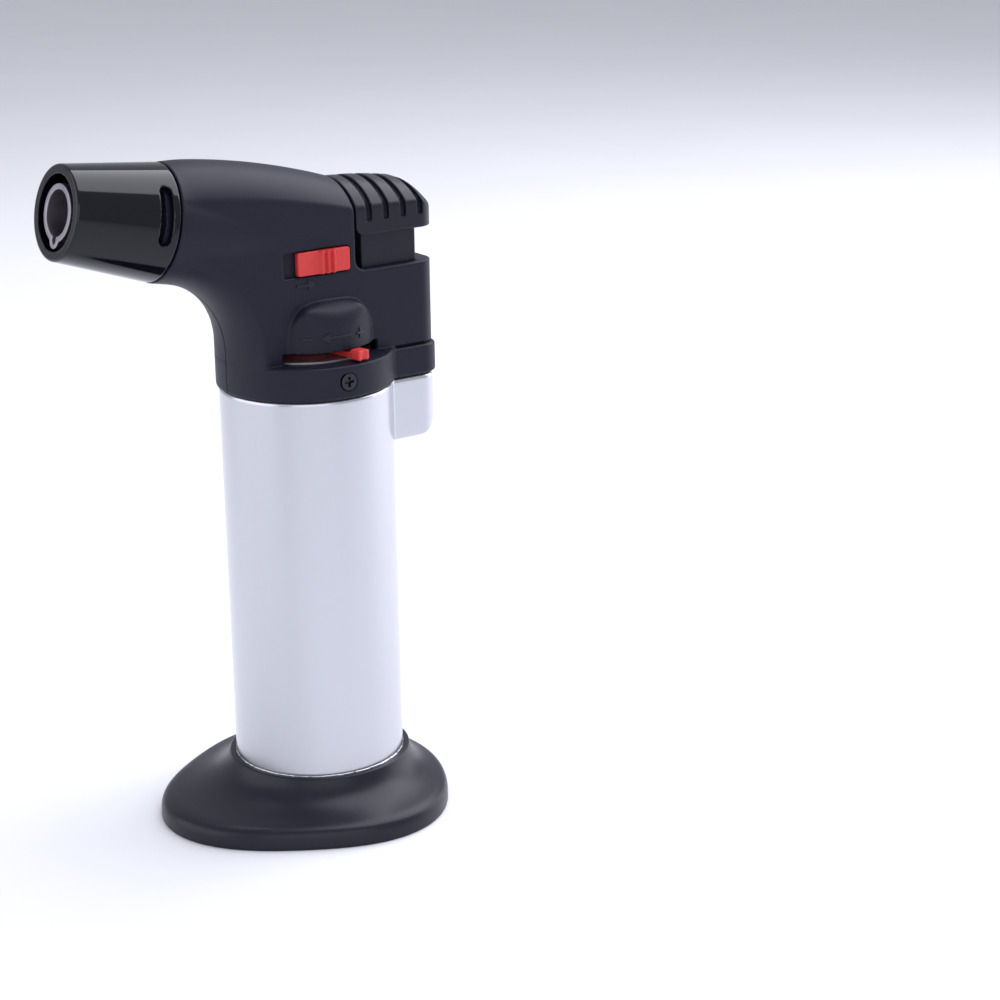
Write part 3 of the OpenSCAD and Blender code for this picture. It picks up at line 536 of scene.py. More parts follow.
def add_piece(
    name: str,
    mesh_data: tuple[Array, Array, Array],
    finish: Finish,
    nodes: Sequence[str],
    body: str,
) -> bpy.types.Object:
    """Makes an object from a mesh and hangs it on its body.

    Args:
        name: Object name.
        mesh_data: Points in millimetres, faces and normals.
        finish: Its finish.
        nodes: Frame nodes that it stands for.
        body: The body it moves with.

    Returns:
        The object.
    """
    points, faces, normals = mesh_data
    mesh = bpy.data.meshes.new(name)
    mesh.from_pydata((points * MM).tolist(), [], np.asarray(faces).tolist())
    mesh.validate()
    mesh.shade_smooth()
    if normals is not None:
        mesh.normals_split_custom_set_from_vertices(normals.tolist())
    mesh.materials.append(finish.material())
    piece = bpy.data.objects.new(name, mesh)
    bpy.context.scene.collection.objects.link(piece)
    if nodes:
        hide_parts(*nodes)
    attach(piece, body)
    LOG.info("%s: %d points, %s", name, len(points), finish.name)
    return piece


def node_box(node: str) -> tuple[Vector, Vector]:
    """Lowest and highest corners of a frame node, in millimetres."""
    low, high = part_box(node)
    return Vector(low) / MM, Vector(high) / MM


@dataclass
class Layout:
    """Levels and radii of the torch, read from the frame, in millimetres."""

    tank_r: float = 20.0
    tank_low: float = 5.0
    tank_top: float = 102.5
    lug_x: float = 29.7
    lug_half: float = 11.7
    collar_z: float = 102.7
    collar_r: float = 20.58
    ledge_z: float = 110.3
    block_x: float = 30.0
    half_w: float = 11.7
    rear_x: float = 29.4
    well_z: float = 129.1
    well_x: float = 7.5
    crown_top: float = 157.2
    tilt: float = math.radians(12.1)
    mouth: tuple[float, float] = (-59.43, 148.73)
    barrel_len: float = 23.4
    barrel_front_r: float = 10.36
    barrel_rear_r: float = 13.13

    @classmethod
    def from_frame(cls) -> "Layout":
        """Reads the layout from the frame's nodes."""
        made = cls()
        tank_low, tank_high = node_box("fuel_tank")
        head_low, head_high = node_box("right_housing")
        cap_low, cap_high = node_box("trigger")
        made.tank_r = -tank_low.x
        made.tank_low = tank_low.z
        made.lug_x = tank_high.x
        made.collar_z = head_low.z
        made.tank_top = made.collar_z - 0.2
        made.collar_r = -head_low.y
        made.ledge_z = made.collar_z + 7.6
        made.block_x = head_high.x
        made.rear_x = made.block_x - 0.6
        made.half_w = cap_high.y + 0.2
        made.lug_half = made.half_w
        made.well_x = cap_low.x - 0.3
        made.well_z = made.collar_z + 26.4
        made.crown_top = made.collar_z + 54.5
        arm_x = -made.collar_r - 16.02
        arm_z = made.collar_z + 41.13
        made.mouth = (
            arm_x - made.barrel_len * math.cos(made.tilt),
            arm_z + made.barrel_len * math.sin(made.tilt),
        )
        return made

    @property
    def arm(self) -> tuple[float, float]:
        """Place of the barrel's joint on the nozzle axis."""
        return (
            self.mouth[0] + self.barrel_len * math.cos(self.tilt),
            self.mouth[1] - self.barrel_len * math.sin(self.tilt),
        )

    def along_nozzle(self, x: Array, z: Array) -> tuple[Array, Array]:
        """Coordinates along the nozzle axis from the mouth, and across it, upwards."""
        dx, dz = x - self.mouth[0], z - self.mouth[1]
        cos, sin = math.cos(self.tilt), math.sin(self.tilt)
        return dx * cos - dz * sin, dx * sin + dz * cos


@dataclass
class Foot:
    """Lobed foot with its flare, lip, hollow underside and socket.

    Attributes:
        lay: The torch's layout.
        mean_r: Mean radius of the outline.
        lobes: Weights of the outline's first four harmonics.
        height: Height of the lip.
        wall: Wall of the moulding.
    """

    lay: Layout
    mean_r: float = 33.8
    lobes: tuple[float, float, float, float] = (4.05, 0.15, 1.65, 0.85)
    height: float = 12.3
    wall: float = 2.2
    lip: float = 1.5
    around: int = 216

    def reach(self, angle: Array) -> Array:
        """Radius of the outline at angles from the flame side."""
        return self.mean_r + sum(w * np.cos((k + 1) * angle) for k, w in enumerate(self.lobes))

    @staticmethod
    def curve(stops: Sequence[tuple[float, float]], count: int) -> list[tuple[float, float]]:
        """Points of a cubic through four controls."""
        out = []
        for k in range(count + 1):
            t = k / count
            w = ((1 - t) ** 3, 3 * t * (1 - t) ** 2, 3 * t * t * (1 - t), t**3)
            out.append(tuple(sum(a * p[i] for a, p in zip(w, stops)) for i in range(2)))
        return out

    def outer_section(self) -> list[tuple[float, float, float]]:
        """Section from the table up to the lip: share of the way out, inward step and height."""
        h = self.height
        edge = [(1.0, 0.35, 0.0), (1.0, 0.1, 0.12), (1.0, 0.0, 0.4), (1.0, 0.0, 1.0)]
        shoulder = self.curve([(1, 1.7), (1, h * 0.34), (0.94, h * 0.4), (0.76, h * 0.44)], 12)
        flare = self.curve([(0.76, h * 0.44), (0.4, h * 0.52), (0.14, h * 0.62), (0.012, h - 0.45)], 16)
        lip = [(0.004, 0.0, h - 0.22), (0.0, 0.1, h - 0.07), (0.0, 0.3, h)]
        return edge + [(s, 0.0, z) for s, z in shoulder] + [(s, 0.0, z) for s, z in flare[1:]] + lip

    def build(self) -> bpy.types.Object:
        """Lofts the foot and adds it."""
        angle = np.linspace(0.0, 2.0 * math.pi, self.around, endpoint=False)
        lip_r = self.lay.tank_r + self.lip
        reach = self.reach(angle)
        socket_r = self.lay.tank_r + 0.06
        rings: list[Array] = []

        def ring(share: float, step: float, z: float) -> None:
            """Adds one ring of the skin."""
            r = lip_r + (reach - lip_r) * share - step
            rings.append(np.stack([-r * np.cos(angle), r * np.sin(angle), np.full_like(r, z)], axis=1))

        def circle(r: float, z: float) -> None:
            """Adds one round ring."""
            rings.append(np.stack([-r * np.cos(angle), r * np.sin(angle), np.full_like(angle, z)], axis=1))

        outer = self.outer_section()
        for share, step, z in outer:
            ring(share, step, z)
        circle(socket_r + 0.35, self.height)
        circle(socket_r + 0.1, self.height - 0.08)
        circle(socket_r, self.height - 0.3)
        circle(socket_r, self.lay.tank_low)
        circle(6.5, self.lay.tank_low)
        circle(6.5, self.lay.tank_low - 2.4)
        circle(lip_r - 2.6, self.lay.tank_low - 2.4)
        circle(lip_r - 2.0, self.height * 0.36)
        for share, step, z in reversed(outer[4:17]):
            ring(share, self.wall + step, z - self.wall * 0.9)
        ring(1.0, self.wall, 0.0)
        quads = ring_faces(len(rings), self.around)[:, ::-1]
        return add_piece("foot_moulding", (np.concatenate(rings), quads, None), Finish.FOOT, ["foot"], "torch_body")


@dataclass
class RimLine:
    """Thin line of bare metal where the tank goes into the foot, chipped all the way round."""

    lay: Layout
    level: float = 12.3
    width: float = 0.34
    around: int = 240

    def build(self) -> bpy.types.Object:
        """Lathes the line and adds it."""
        angle = np.linspace(0.0, 2.0 * math.pi, self.around, endpoint=False)
        wander = 0.06 * np.sin(angle * 23.0) + 0.05 * np.sin(angle * 57.0 + 1.0) + 0.04 * np.sin(angle * 91.0 + 2.0)
        low, top = self.level - 0.25, self.level + 0.1
        inner = self.lay.tank_r - 0.03
        outer = self.lay.tank_r + self.width * 0.5 + wander
        section = [(inner, low), (outer, low), (outer, top - 0.05), (outer - 0.08, top), (inner, top + 0.12)]
        rings = [np.stack([r * np.cos(angle), r * np.sin(angle), np.full_like(angle, z)], axis=1) for r, z in section]
        data = (np.concatenate(rings), ring_faces(len(rings), self.around), None)
        return add_piece("tank_rim_line", data, Finish.CHIPPED, [], "torch_body")


@dataclass
class Tank:
    """Silver fuel tank with its neck, rear lug and the pocket in the lug."""

    lay: Layout
    wall: float = 1.6
    lug_h: float = 15.2

    def solid(self, x: Array, y: Array, z: Array) -> Array:
        """Field of the tank."""
        lay = self.lay
        r = np.hypot(x, y)
        body = smax(r - lay.tank_r, slab_between(z, lay.tank_low, lay.tank_top), 1.0)
        neck = smax(r - (lay.tank_r - self.wall), slab_between(z, lay.tank_low + 5, lay.collar_z + 5.0), 0.2)
        qx = x - (lay.lug_x - 5.0)
        qy = np.abs(y) - (lay.lug_half - 5.0)
        plan = np.hypot(np.maximum(qx, 0), np.maximum(qy, 0)) + np.minimum(np.maximum(qx, qy), 0) - 5.0
        low = lay.collar_z - self.lug_h
        # The rear face leans in by a tenth towards the rounded lower edge.
        lean = x + (lay.tank_top - z) * 0.05 - lay.lug_x
        foot = np.hypot(np.maximum(x - (lay.lug_x - 6.8), 0), np.maximum(low + 6.0 - z, 0)) - 6.0
        lug = smax(smax(smax(plan, lean, 0.5), foot, 1.0), slab_between(z, low, lay.tank_top), 1.2)
        lug = np.maximum(lug, 4.0 - x)
        shape = smin(np.minimum(body, neck), lug, 0.5)
        hollow = smax(r - (lay.tank_r - self.wall), slab_between(z, lay.tank_low + 2.0, lay.tank_top - 2.6), 1.5)
        throat = smax(r - (lay.tank_r - 2 * self.wall), slab_between(z, lay.tank_top - 4.0, lay.collar_z + 9), 0.4)
        port = np.maximum(r - 3.96, z - lay.tank_low - 9)
        pocket = np.maximum(
            np.maximum(lay.tank_r - x, np.maximum(x - lay.tank_r - lay.lug_x + lay.tank_r + 3.2, np.abs(y) - 7.2)),
            89.5 - z,
        )
        for cut in (hollow, throat, port, pocket):
            shape = smax(shape, -cut, 0.2)
        screws = np.hypot(x + 0.8, z - lay.collar_z - 3.85) - 0.96
        return np.maximum(shape, -np.maximum(screws, lay.tank_r - 4 - np.abs(y)))

    def build(self) -> bpy.types.Object:
        """Meshes the tank and adds it."""
        lay = self.lay
        low = lay.tank_low
        axes = (
            lines(-lay.tank_r, lay.lug_x, 0.55),
            lines(-lay.tank_r, lay.tank_r, 0.55),
            graded_lines(
                [(low - 0.6, 0.3), (low + 3.0, 2.0), (low + 12.0, 5.0), (84.0, 0.5), (lay.tank_top - 1.5, 0.28)],
                lay.collar_z + 6.0,
            ),
        )
        mesh = NetMesher(self.solid, axes).build()
        return add_piece("fuel_tank_shell", mesh, Finish.TANK, ["fuel_tank"], "torch_body")


@dataclass
class Head:
    """The two shells of the head."""

    lay: Layout
    wall: float = 1.8
    bend_r: float = 18.0
    crown_r: float = 150.0
    crease_r: float = 196.0
    crease_drop: float = 8.1
    dome_r: float = 16.3
    dome_h: float = 14.1
    arm_taper: float = 0.062
    bore_r: float = 15.4
    spigot_r: float = 11.23
    pilot_r: float = 0.96
    sink_r: float = 2.1
    slot_half: float = 12.3
    slot_h: float = 2.2
    step_r: float = 16.2
    shell_screws: tuple[tuple[float, float], ...] = ((-13.5, 15.3), (3.0, 38.8), (17.7, 12.9))
    step: float = 0.42

    def neck(self, x: Array, y: Array, z: Array) -> Array:
        """Field of everything behind the neck's front and above the arm's underside."""
        lay = self.lay
        arm_x, arm_z = lay.arm
        hinge_x = -lay.collar_r - self.bend_r
        cos = math.cos(lay.tilt)
        hinge_z = arm_z - lay.barrel_rear_r / cos - self.bend_r / cos + (arm_x - hinge_x) * math.tan(lay.tilt)
        full = math.pi / 2 - lay.tilt
        dx, dz = x - hinge_x, z - hinge_z
        angle = np.arctan2(dz, np.maximum(dx, 1e-6))
        past = -dx * math.sin(full) + dz * math.cos(full)
        reach = np.where(dz < 0, dx, np.where(past > 0, dx * math.cos(full) + dz * math.sin(full), np.hypot(dx, dz)))
        share = np.clip(np.where(past > 0, 1.0, angle / full), 0.0, 1.0)
        radius = lay.collar_r - 0.05 + (lay.barrel_rear_r - lay.collar_r + 0.05) * share
        return np.hypot(np.maximum(self.bend_r + radius - reach, 0.0), y) - radius

    def crown(self, x: Array, y: Array, z: Array) -> Array:
        """Field under the crown's arched top."""
        lay = self.lay
        peak = -lay.tank_r - 21.7
        ridge = lay.crown_top - (x - peak) ** 2 / (2 * self.crown_r)
        crease = lay.crown_top - self.crease_drop - (x - peak) ** 2 / (2 * self.crease_r)
        sag = np.maximum(ridge - crease, 1.0)
        radius = (lay.half_w**2 + sag**2) / (2 * sag)
        along, _ = lay.along_nozzle(x, z)
        near = np.clip(1.0 - (along - lay.barrel_len) / 6.0, 0.0, 1.0) ** 2
        radius = radius + (lay.barrel_rear_r - radius) * near
        ridge = ridge - 0.33 * near
        return np.hypot(y, np.maximum(z - (ridge - radius), 0.0)) - radius

    def rear_plan(self, x: Array, y: Array, rear: float, half: float) -> Array:
        """Field of a plan that ends in rounded rear corners."""
        qx = x - (rear - 5.0)
        qy = np.abs(y) - (half - 5.0)
        return np.hypot(np.maximum(qx, 0), np.maximum(qy, 0)) + np.minimum(np.maximum(qx, qy), 0) - 5.0

    def upper(self, x: Array, y: Array, z: Array) -> Array:
        """Field of the head above the ledge, open at the bottom."""
        lay = self.lay
        side = np.abs(y) - lay.half_w
        top = smax(self.crown(x, y, z), side, 0.55)
        well = smin(x - lay.well_x, z - lay.well_z, 3.0)
        shape = smax(top, well, 0.9)
        shape = smax(shape, self.neck(x, y, z), 0.35)
        shape = smax(shape, self.rear_plan(x, y, lay.rear_x, lay.half_w), 0.3)
        along, across = lay.along_nozzle(x, z)
        cone = np.hypot(across, y) - lay.barrel_rear_r + (along - lay.barrel_len) * self.arm_taper
        shape = smin(shape, np.maximum(cone, along - 50.0), 0.35)
        return smax(shape, lay.barrel_len - along, 0.3)

    def base(self, x: Array, y: Array, z: Array) -> Array:
        """Field of the collar and the rear block."""
        lay = self.lay
        r = np.hypot(x, y)
        collar = smax(r - lay.collar_r, slab_between(z, lay.collar_z, lay.ledge_z), 0.7)
        block = smax(
            self.rear_plan(x, y, lay.block_x, lay.half_w + 0.5),
            slab_between(z, lay.collar_z, lay.collar_z + 6.95),
            0.8,
        )
        block = np.maximum(block, 5.0 - x)
        return smin(collar, block, 0.25)

    def bores(self, shape: Array, x: Array, y: Array, z: Array) -> Array:
        """Takes the hollow under the ledge and the ledge's bore out of a shape."""
        lay = self.lay
        r = np.hypot(x, y)
        under = np.maximum(r - (lay.tank_r - 1.5), z - (lay.ledge_z - 1.4))
        rear = np.maximum(
            self.rear_plan(x, y, lay.block_x - 2.4, lay.half_w - 2.2), np.maximum(4.0 - x, z - lay.ledge_z - 4)
        )
        bore = np.maximum(r - self.bore_r, z - lay.ledge_z - 0.45)
        for cut in (under, rear, bore):
            shape = np.maximum(shape, -cut)
        return shape

    def dome(self, x: Array, y: Array, z: Array, inset: float) -> Array:
        """Field of the bulge over the flame lever."""
        lay = self.lay
        top = lay.ledge_z + self.dome_h
        round_wall = np.hypot(x, y) - (self.dome_r - inset)
        roof = np.hypot(y + lay.half_w - 3.6, np.maximum(z - (top - 10.1), 0.0)) - (10.1 - inset)
        half = 11.3 - inset
        outline = rounded_rect(x, z - (top - inset - 20.0), half, 20.0, 9.6 - inset)
        shape = smax(smax(round_wall, roof, 1.6), outline, 1.4)
        floor = lay.ledge_z + self.slot_h - (1.0 if inset else 0.0)
        return np.maximum(np.maximum(shape, floor - z), y + 2.0)

    def stem_way(self, x: Array, y: Array, z: Array) -> Array:
        """Field of the way that the trigger's stem needs."""
        lay = self.lay
        low_x, high_x = lay.well_x + 2.35, lay.tank_r + 4.85
        plan = rounded_rect(x - (low_x + high_x) / 2, y, (high_x - low_x) / 2, lay.half_w - 1.85, 0.2)
        return np.maximum(plan, slab_between(z, lay.well_z - 11.0, lay.well_z + 4.0))

    def shell(self, x: Array, y: Array, z: Array) -> Array:
        """Field of both shells together."""
        lay = self.lay
        upper = self.upper(x, y, z)
        floor = lay.ledge_z - 0.3 - z
        skin = np.maximum(np.maximum(upper, floor), -(upper + self.wall))
        along, across = lay.along_nozzle(x, z)
        spigot = np.maximum(np.hypot(across, y) - self.spigot_r, np.maximum(lay.barrel_len - 3.0 - along, along - 24.4))
        shape = smin(np.minimum(skin, spigot), self.base(x, y, z), 0.25)
        shape = self.bores(shape, x, y, z)
        passage = np.maximum(np.hypot(across, y) - 6.45, along - 28.0)
        channel = np.maximum(np.maximum(np.abs(y) - 2.1, across), np.maximum(-7.9 - across, along - 28.0))
        shape = np.maximum(shape, -np.minimum(passage, channel))
        shape = smax(shape, -self.stem_way(x, y, z), 0.15)
        screw = np.hypot(x + 0.8, z - lay.collar_z - 3.85)
        sink = np.maximum(screw - self.sink_r, lay.collar_r - 1.3 - np.abs(y))
        pilot = np.maximum(screw - self.pilot_r, lay.tank_r - 3.6 - np.abs(y))
        return smax(shape, -np.minimum(sink, pilot), 0.2)

    def right(self, x: Array, y: Array, z: Array) -> Array:
        """Field of the near shell, with the bulge, the slot and the lock's recess."""
        lay = self.lay
        shape = smin(self.shell(x, y, z), self.dome(x, y, z, 0.0), 0.5)
        shape = np.maximum(shape, -self.dome(x, y, z, self.wall))
        shape = np.maximum(shape, -self.stem_way(x, y, z))
        slot = np.maximum(
            np.maximum(np.abs(x) - self.slot_half, slab_between(z, lay.ledge_z, lay.ledge_z + self.slot_h)),
            y + 4.6,
        )
        shape = smax(shape, -slot, 0.3)
        lock_z = lay.collar_z + 29.75
        recess = rounded_rect(x - (lay.well_x - 10.35), z - lock_z, 8.45, 2.8, 0.5)
        shape = smax(shape, -np.maximum(recess, y + lay.half_w - 1.2), 0.3)
        stud = np.maximum(np.maximum(np.abs(x + 2.55) - 3.85, np.abs(z - lock_z) - 1.4), y + lay.half_w - 4)
        shape = np.maximum(shape, -stud)
        return smax(shape, y + 0.015, 0.35)

    def left(self, x: Array, y: Array, z: Array) -> Array:
        """Field of the far shell, with the screws' counterbores."""
        lay = self.lay
        shape = self.shell(x, y, z)
        step = smax(np.hypot(x, y) - self.step_r, slab_between(z, lay.ledge_z + 0.6, lay.ledge_z + 1.6), 0.5)
        shape = np.minimum(shape, np.maximum(step, lay.half_w - 0.6 - y))
        rim = np.maximum(np.hypot(x, y) - self.step_r, 15.5 - np.hypot(x, y))
        rim = np.maximum(rim, slab_between(z, lay.ledge_z - 0.5, lay.ledge_z + 0.9))
        shape = np.minimum(shape, np.maximum(rim, lay.half_w - 0.6 - y))
        for sx, sz in self.shell_screws:
            sink = np.hypot(x - sx, z - lay.collar_z - sz)
            boss = np.maximum(sink - 2.0, np.maximum(-y, y - lay.half_w + 1.0))
            shape = np.minimum(shape, boss)
            shape = smax(shape, -np.maximum(sink - self.sink_r, lay.half_w - 1.6 - y), 0.2)
            shape = np.maximum(shape, -(sink - self.pilot_r))
        return smax(shape, 0.015 - y, 0.35)

    def build(self) -> list[bpy.types.Object]:
        """Meshes both shells and adds them."""
        lay = self.lay
        xs = lines(lay.mouth[0] + 17.0, lay.block_x, self.step)
        zs = lines(lay.collar_z, lay.crown_top, self.step)
        near = NetMesher(self.right, (xs, lines(-lay.collar_r, 0.0, self.step), zs)).build()
        far = NetMesher(self.left, (xs, lines(0.0, lay.collar_r, self.step), zs)).build()
        return [
            add_piece("right_shell", near, Finish.HEAD, ["right_housing"], "torch_body"),
            add_piece("left_shell", far, Finish.HEAD, ["left_housing"], "torch_body"),
        ]


@dataclass
class Barrel:
    """Gloss black barrel with an air slot on each side, and the keyhole burner tube inside it."""

    lay: Layout
    slot_w: float = 2.7
    slot_mid: float = math.radians(13.5)
    slot_half: float = math.radians(30.5)
    tube_r: float = 6.3
    bore_r: float = 5.0

    def to_world(self, mesh: tuple[Array, Array, Array]) -> tuple[Array, Array, Array]:
        """Turns a mesh from nozzle coordinates (along, y, across) to the torch's."""
        points, faces, normals = mesh
        cos, sin = math.cos(self.lay.tilt), math.sin(self.lay.tilt)
        turn = np.array([[cos, 0, sin], [0, 1, 0], [-sin, 0, cos]])
        origin = np.array([self.lay.mouth[0], 0.0, self.lay.mouth[1]])
        return points @ turn.T + origin, faces, normals @ turn.T

    def solid(self, s: Array, y: Array, v: Array) -> Array:
        """Field of the barrel in nozzle coordinates."""
        lay = self.lay
        r = np.hypot(y, v)
        taper = (lay.barrel_rear_r - lay.barrel_front_r) / lay.barrel_len
        outer = r - (lay.barrel_front_r + taper * s)
        shape = smax(outer, slab_between(s, 0.0, lay.barrel_len - 0.3), 0.6)
        inner = r - np.minimum(lay.barrel_front_r - 1.3 + taper * s, lay.barrel_rear_r - 1.85)
        inner = np.maximum(inner, 1.4 - s)
        mouth = r - (lay.barrel_front_r - 2.1)
        shape = smax(shape, -np.minimum(inner, mouth), 0.25)
        angle = np.arctan2(v, np.abs(y))
        off = np.abs(angle - self.slot_mid) - self.slot_half + 0.11
        along = s - (lay.barrel_len - 3.4)
        slot = np.hypot(np.maximum(off, 0.0) * r, along) - self.slot_w / 2
        slot = np.maximum(slot, (lay.barrel_rear_r - 4.6) - r)
        return smax(shape, -slot, 0.25)

    def tube(self, s: Array, y: Array, v: Array) -> Array:
        """Field of the burner tube in nozzle coordinates."""
        r = np.hypot(y, v)
        drop = self.tube_r - 0.5
        leg = np.hypot(y, np.minimum(v + drop, 0.0)) - 1.95
        leg = np.maximum(leg, v)
        outer = smin(r - self.tube_r, leg, 0.5)
        groove = np.maximum(np.hypot(y, np.minimum(v + drop, 0.0)) - 0.9, v)
        inner = smin(r - self.bore_r, groove, 0.2)
        shape = smax(outer, -inner, 0.2)
        return smax(shape, slab_between(s, 0.4, self.lay.barrel_len + 8.8), 0.25)

    def build(self) -> list[bpy.types.Object]:
        """Meshes the barrel and the tube and adds them."""
        reach = self.lay.barrel_rear_r
        axes = (lines(0.0, self.lay.barrel_len, 0.3), lines(-reach, reach, 0.36), lines(-reach, reach, 0.36))
        barrel = self.to_world(NetMesher(self.solid, axes).build())
        axes = (
            graded_lines([(0.0, 0.25), (1.5, 1.2)], self.lay.barrel_len + 9.4),
            lines(-self.tube_r, self.tube_r, 0.24),
            lines(-self.tube_r - 1.8, self.tube_r, 0.24),
        )
        tube = self.to_world(NetMesher(self.tube, axes).build())
        return [
            add_piece("barrel_shell", barrel, Finish.BARREL, ["barrel"], "torch_body"),
            add_piece("burner_sleeve", tube, Finish.TUBE, ["burner_tube"], "torch_body"),
        ]


@dataclass
class Trigger:
    """Grooved thumb cap with its stem."""

    lay: Layout
    groove_w: float = 1.45
    groove_depth: float = 0.95
    ridge_r: float = 95.0

    def solid(self, x: Array, y: Array, z: Array) -> Array:
        """Field of the cap and the stem."""
        lay = self.lay
        low, high = node_box("trigger")
        cap_z = lay.well_z + 7.7
        crease = cap_z + 6.4
        sag = 5.8 - (x - lay.well_x) ** 2 / (2 * self.ridge_r)
        half = lay.half_w - 0.2
        sag = np.maximum(sag, 1.5)
        radius = (half**2 + sag**2) / (2 * sag)
        drop = np.maximum(x - (high.x - 5.2), 0.0)
        top = crease + sag - (5.2 - np.sqrt(np.maximum(5.2**2 - drop**2, 0.0)))
        arch = np.hypot(y, np.maximum(z - (top - radius), 0.0)) - radius
        qx = np.maximum(x - (high.x - 4.0), 0.0)
        qy = np.abs(y) - (half - 4.0)
        corner = np.where(x > high.x - 4.0, np.hypot(qx, np.maximum(qy, 0.0)) - 4.0, np.abs(y) - half)
        front = low.x + 0.02 - x
        lower_front = np.hypot(np.maximum(low.x + 2.5 - x, 0), np.maximum(cap_z + 2.5 - z, 0)) - 2.5
        cap = smax(arch, corner, 0.5)
        cap = smax(smax(cap, smax(front, cap_z - z, 0.4), 0.5), lower_front, 0.3)
        for k in range(4):
            middle = low.x + 3.55 + 4.55 * k
            flank = np.hypot(x - middle, np.minimum(z - (cap_z + 3.75), 0.0)) - self.groove_w / 2
            depth = -(smax(arch, corner, 1.6) + self.groove_depth)
            cap = smax(cap, -np.maximum(flank, depth), 0.28)
        stem_x0, stem_x1 = lay.well_x + 2.5, lay.tank_r + 4.7
        stem = rounded_rect(x - (stem_x0 + stem_x1) / 2, y, (stem_x1 - stem_x0) / 2, lay.half_w - 2.0, 0.5)
        bottom = lay.well_z - 4.5
        stem = smax(stem, slab_between(z, bottom, cap_z + 1.0), 0.2)
        shape = np.minimum(cap, stem)
        room_x0, room_x1 = stem_x0 + 1.5, lay.tank_r + 0.7
        room = np.maximum(
            np.maximum(room_x0 - x, x - room_x1), np.maximum(np.abs(y) - lay.half_w + 3.5, z - cap_z - 2.5)
        )
        rib = np.maximum(np.abs(y) - 1.6, x - lay.well_x - 4.6)
        room = np.maximum(room, -rib)
        shape = np.maximum(shape, -room)
        toe = np.maximum(rib, np.maximum(stem_x0 - x, slab_between(z, bottom - 1.6, bottom + 1)))
        return np.minimum(shape, toe)

    def build(self) -> bpy.types.Object:
        """Meshes the trigger and adds it."""
        low, high = node_box("trigger")
        axes = (lines(low.x, high.x, 0.3), lines(low.y, high.y, 0.34), lines(low.z, high.z, 0.3))
        mesh = NetMesher(self.solid, axes).build()
        return add_piece("thumb_trigger", mesh, Finish.CAP, ["trigger"], "trigger_body")


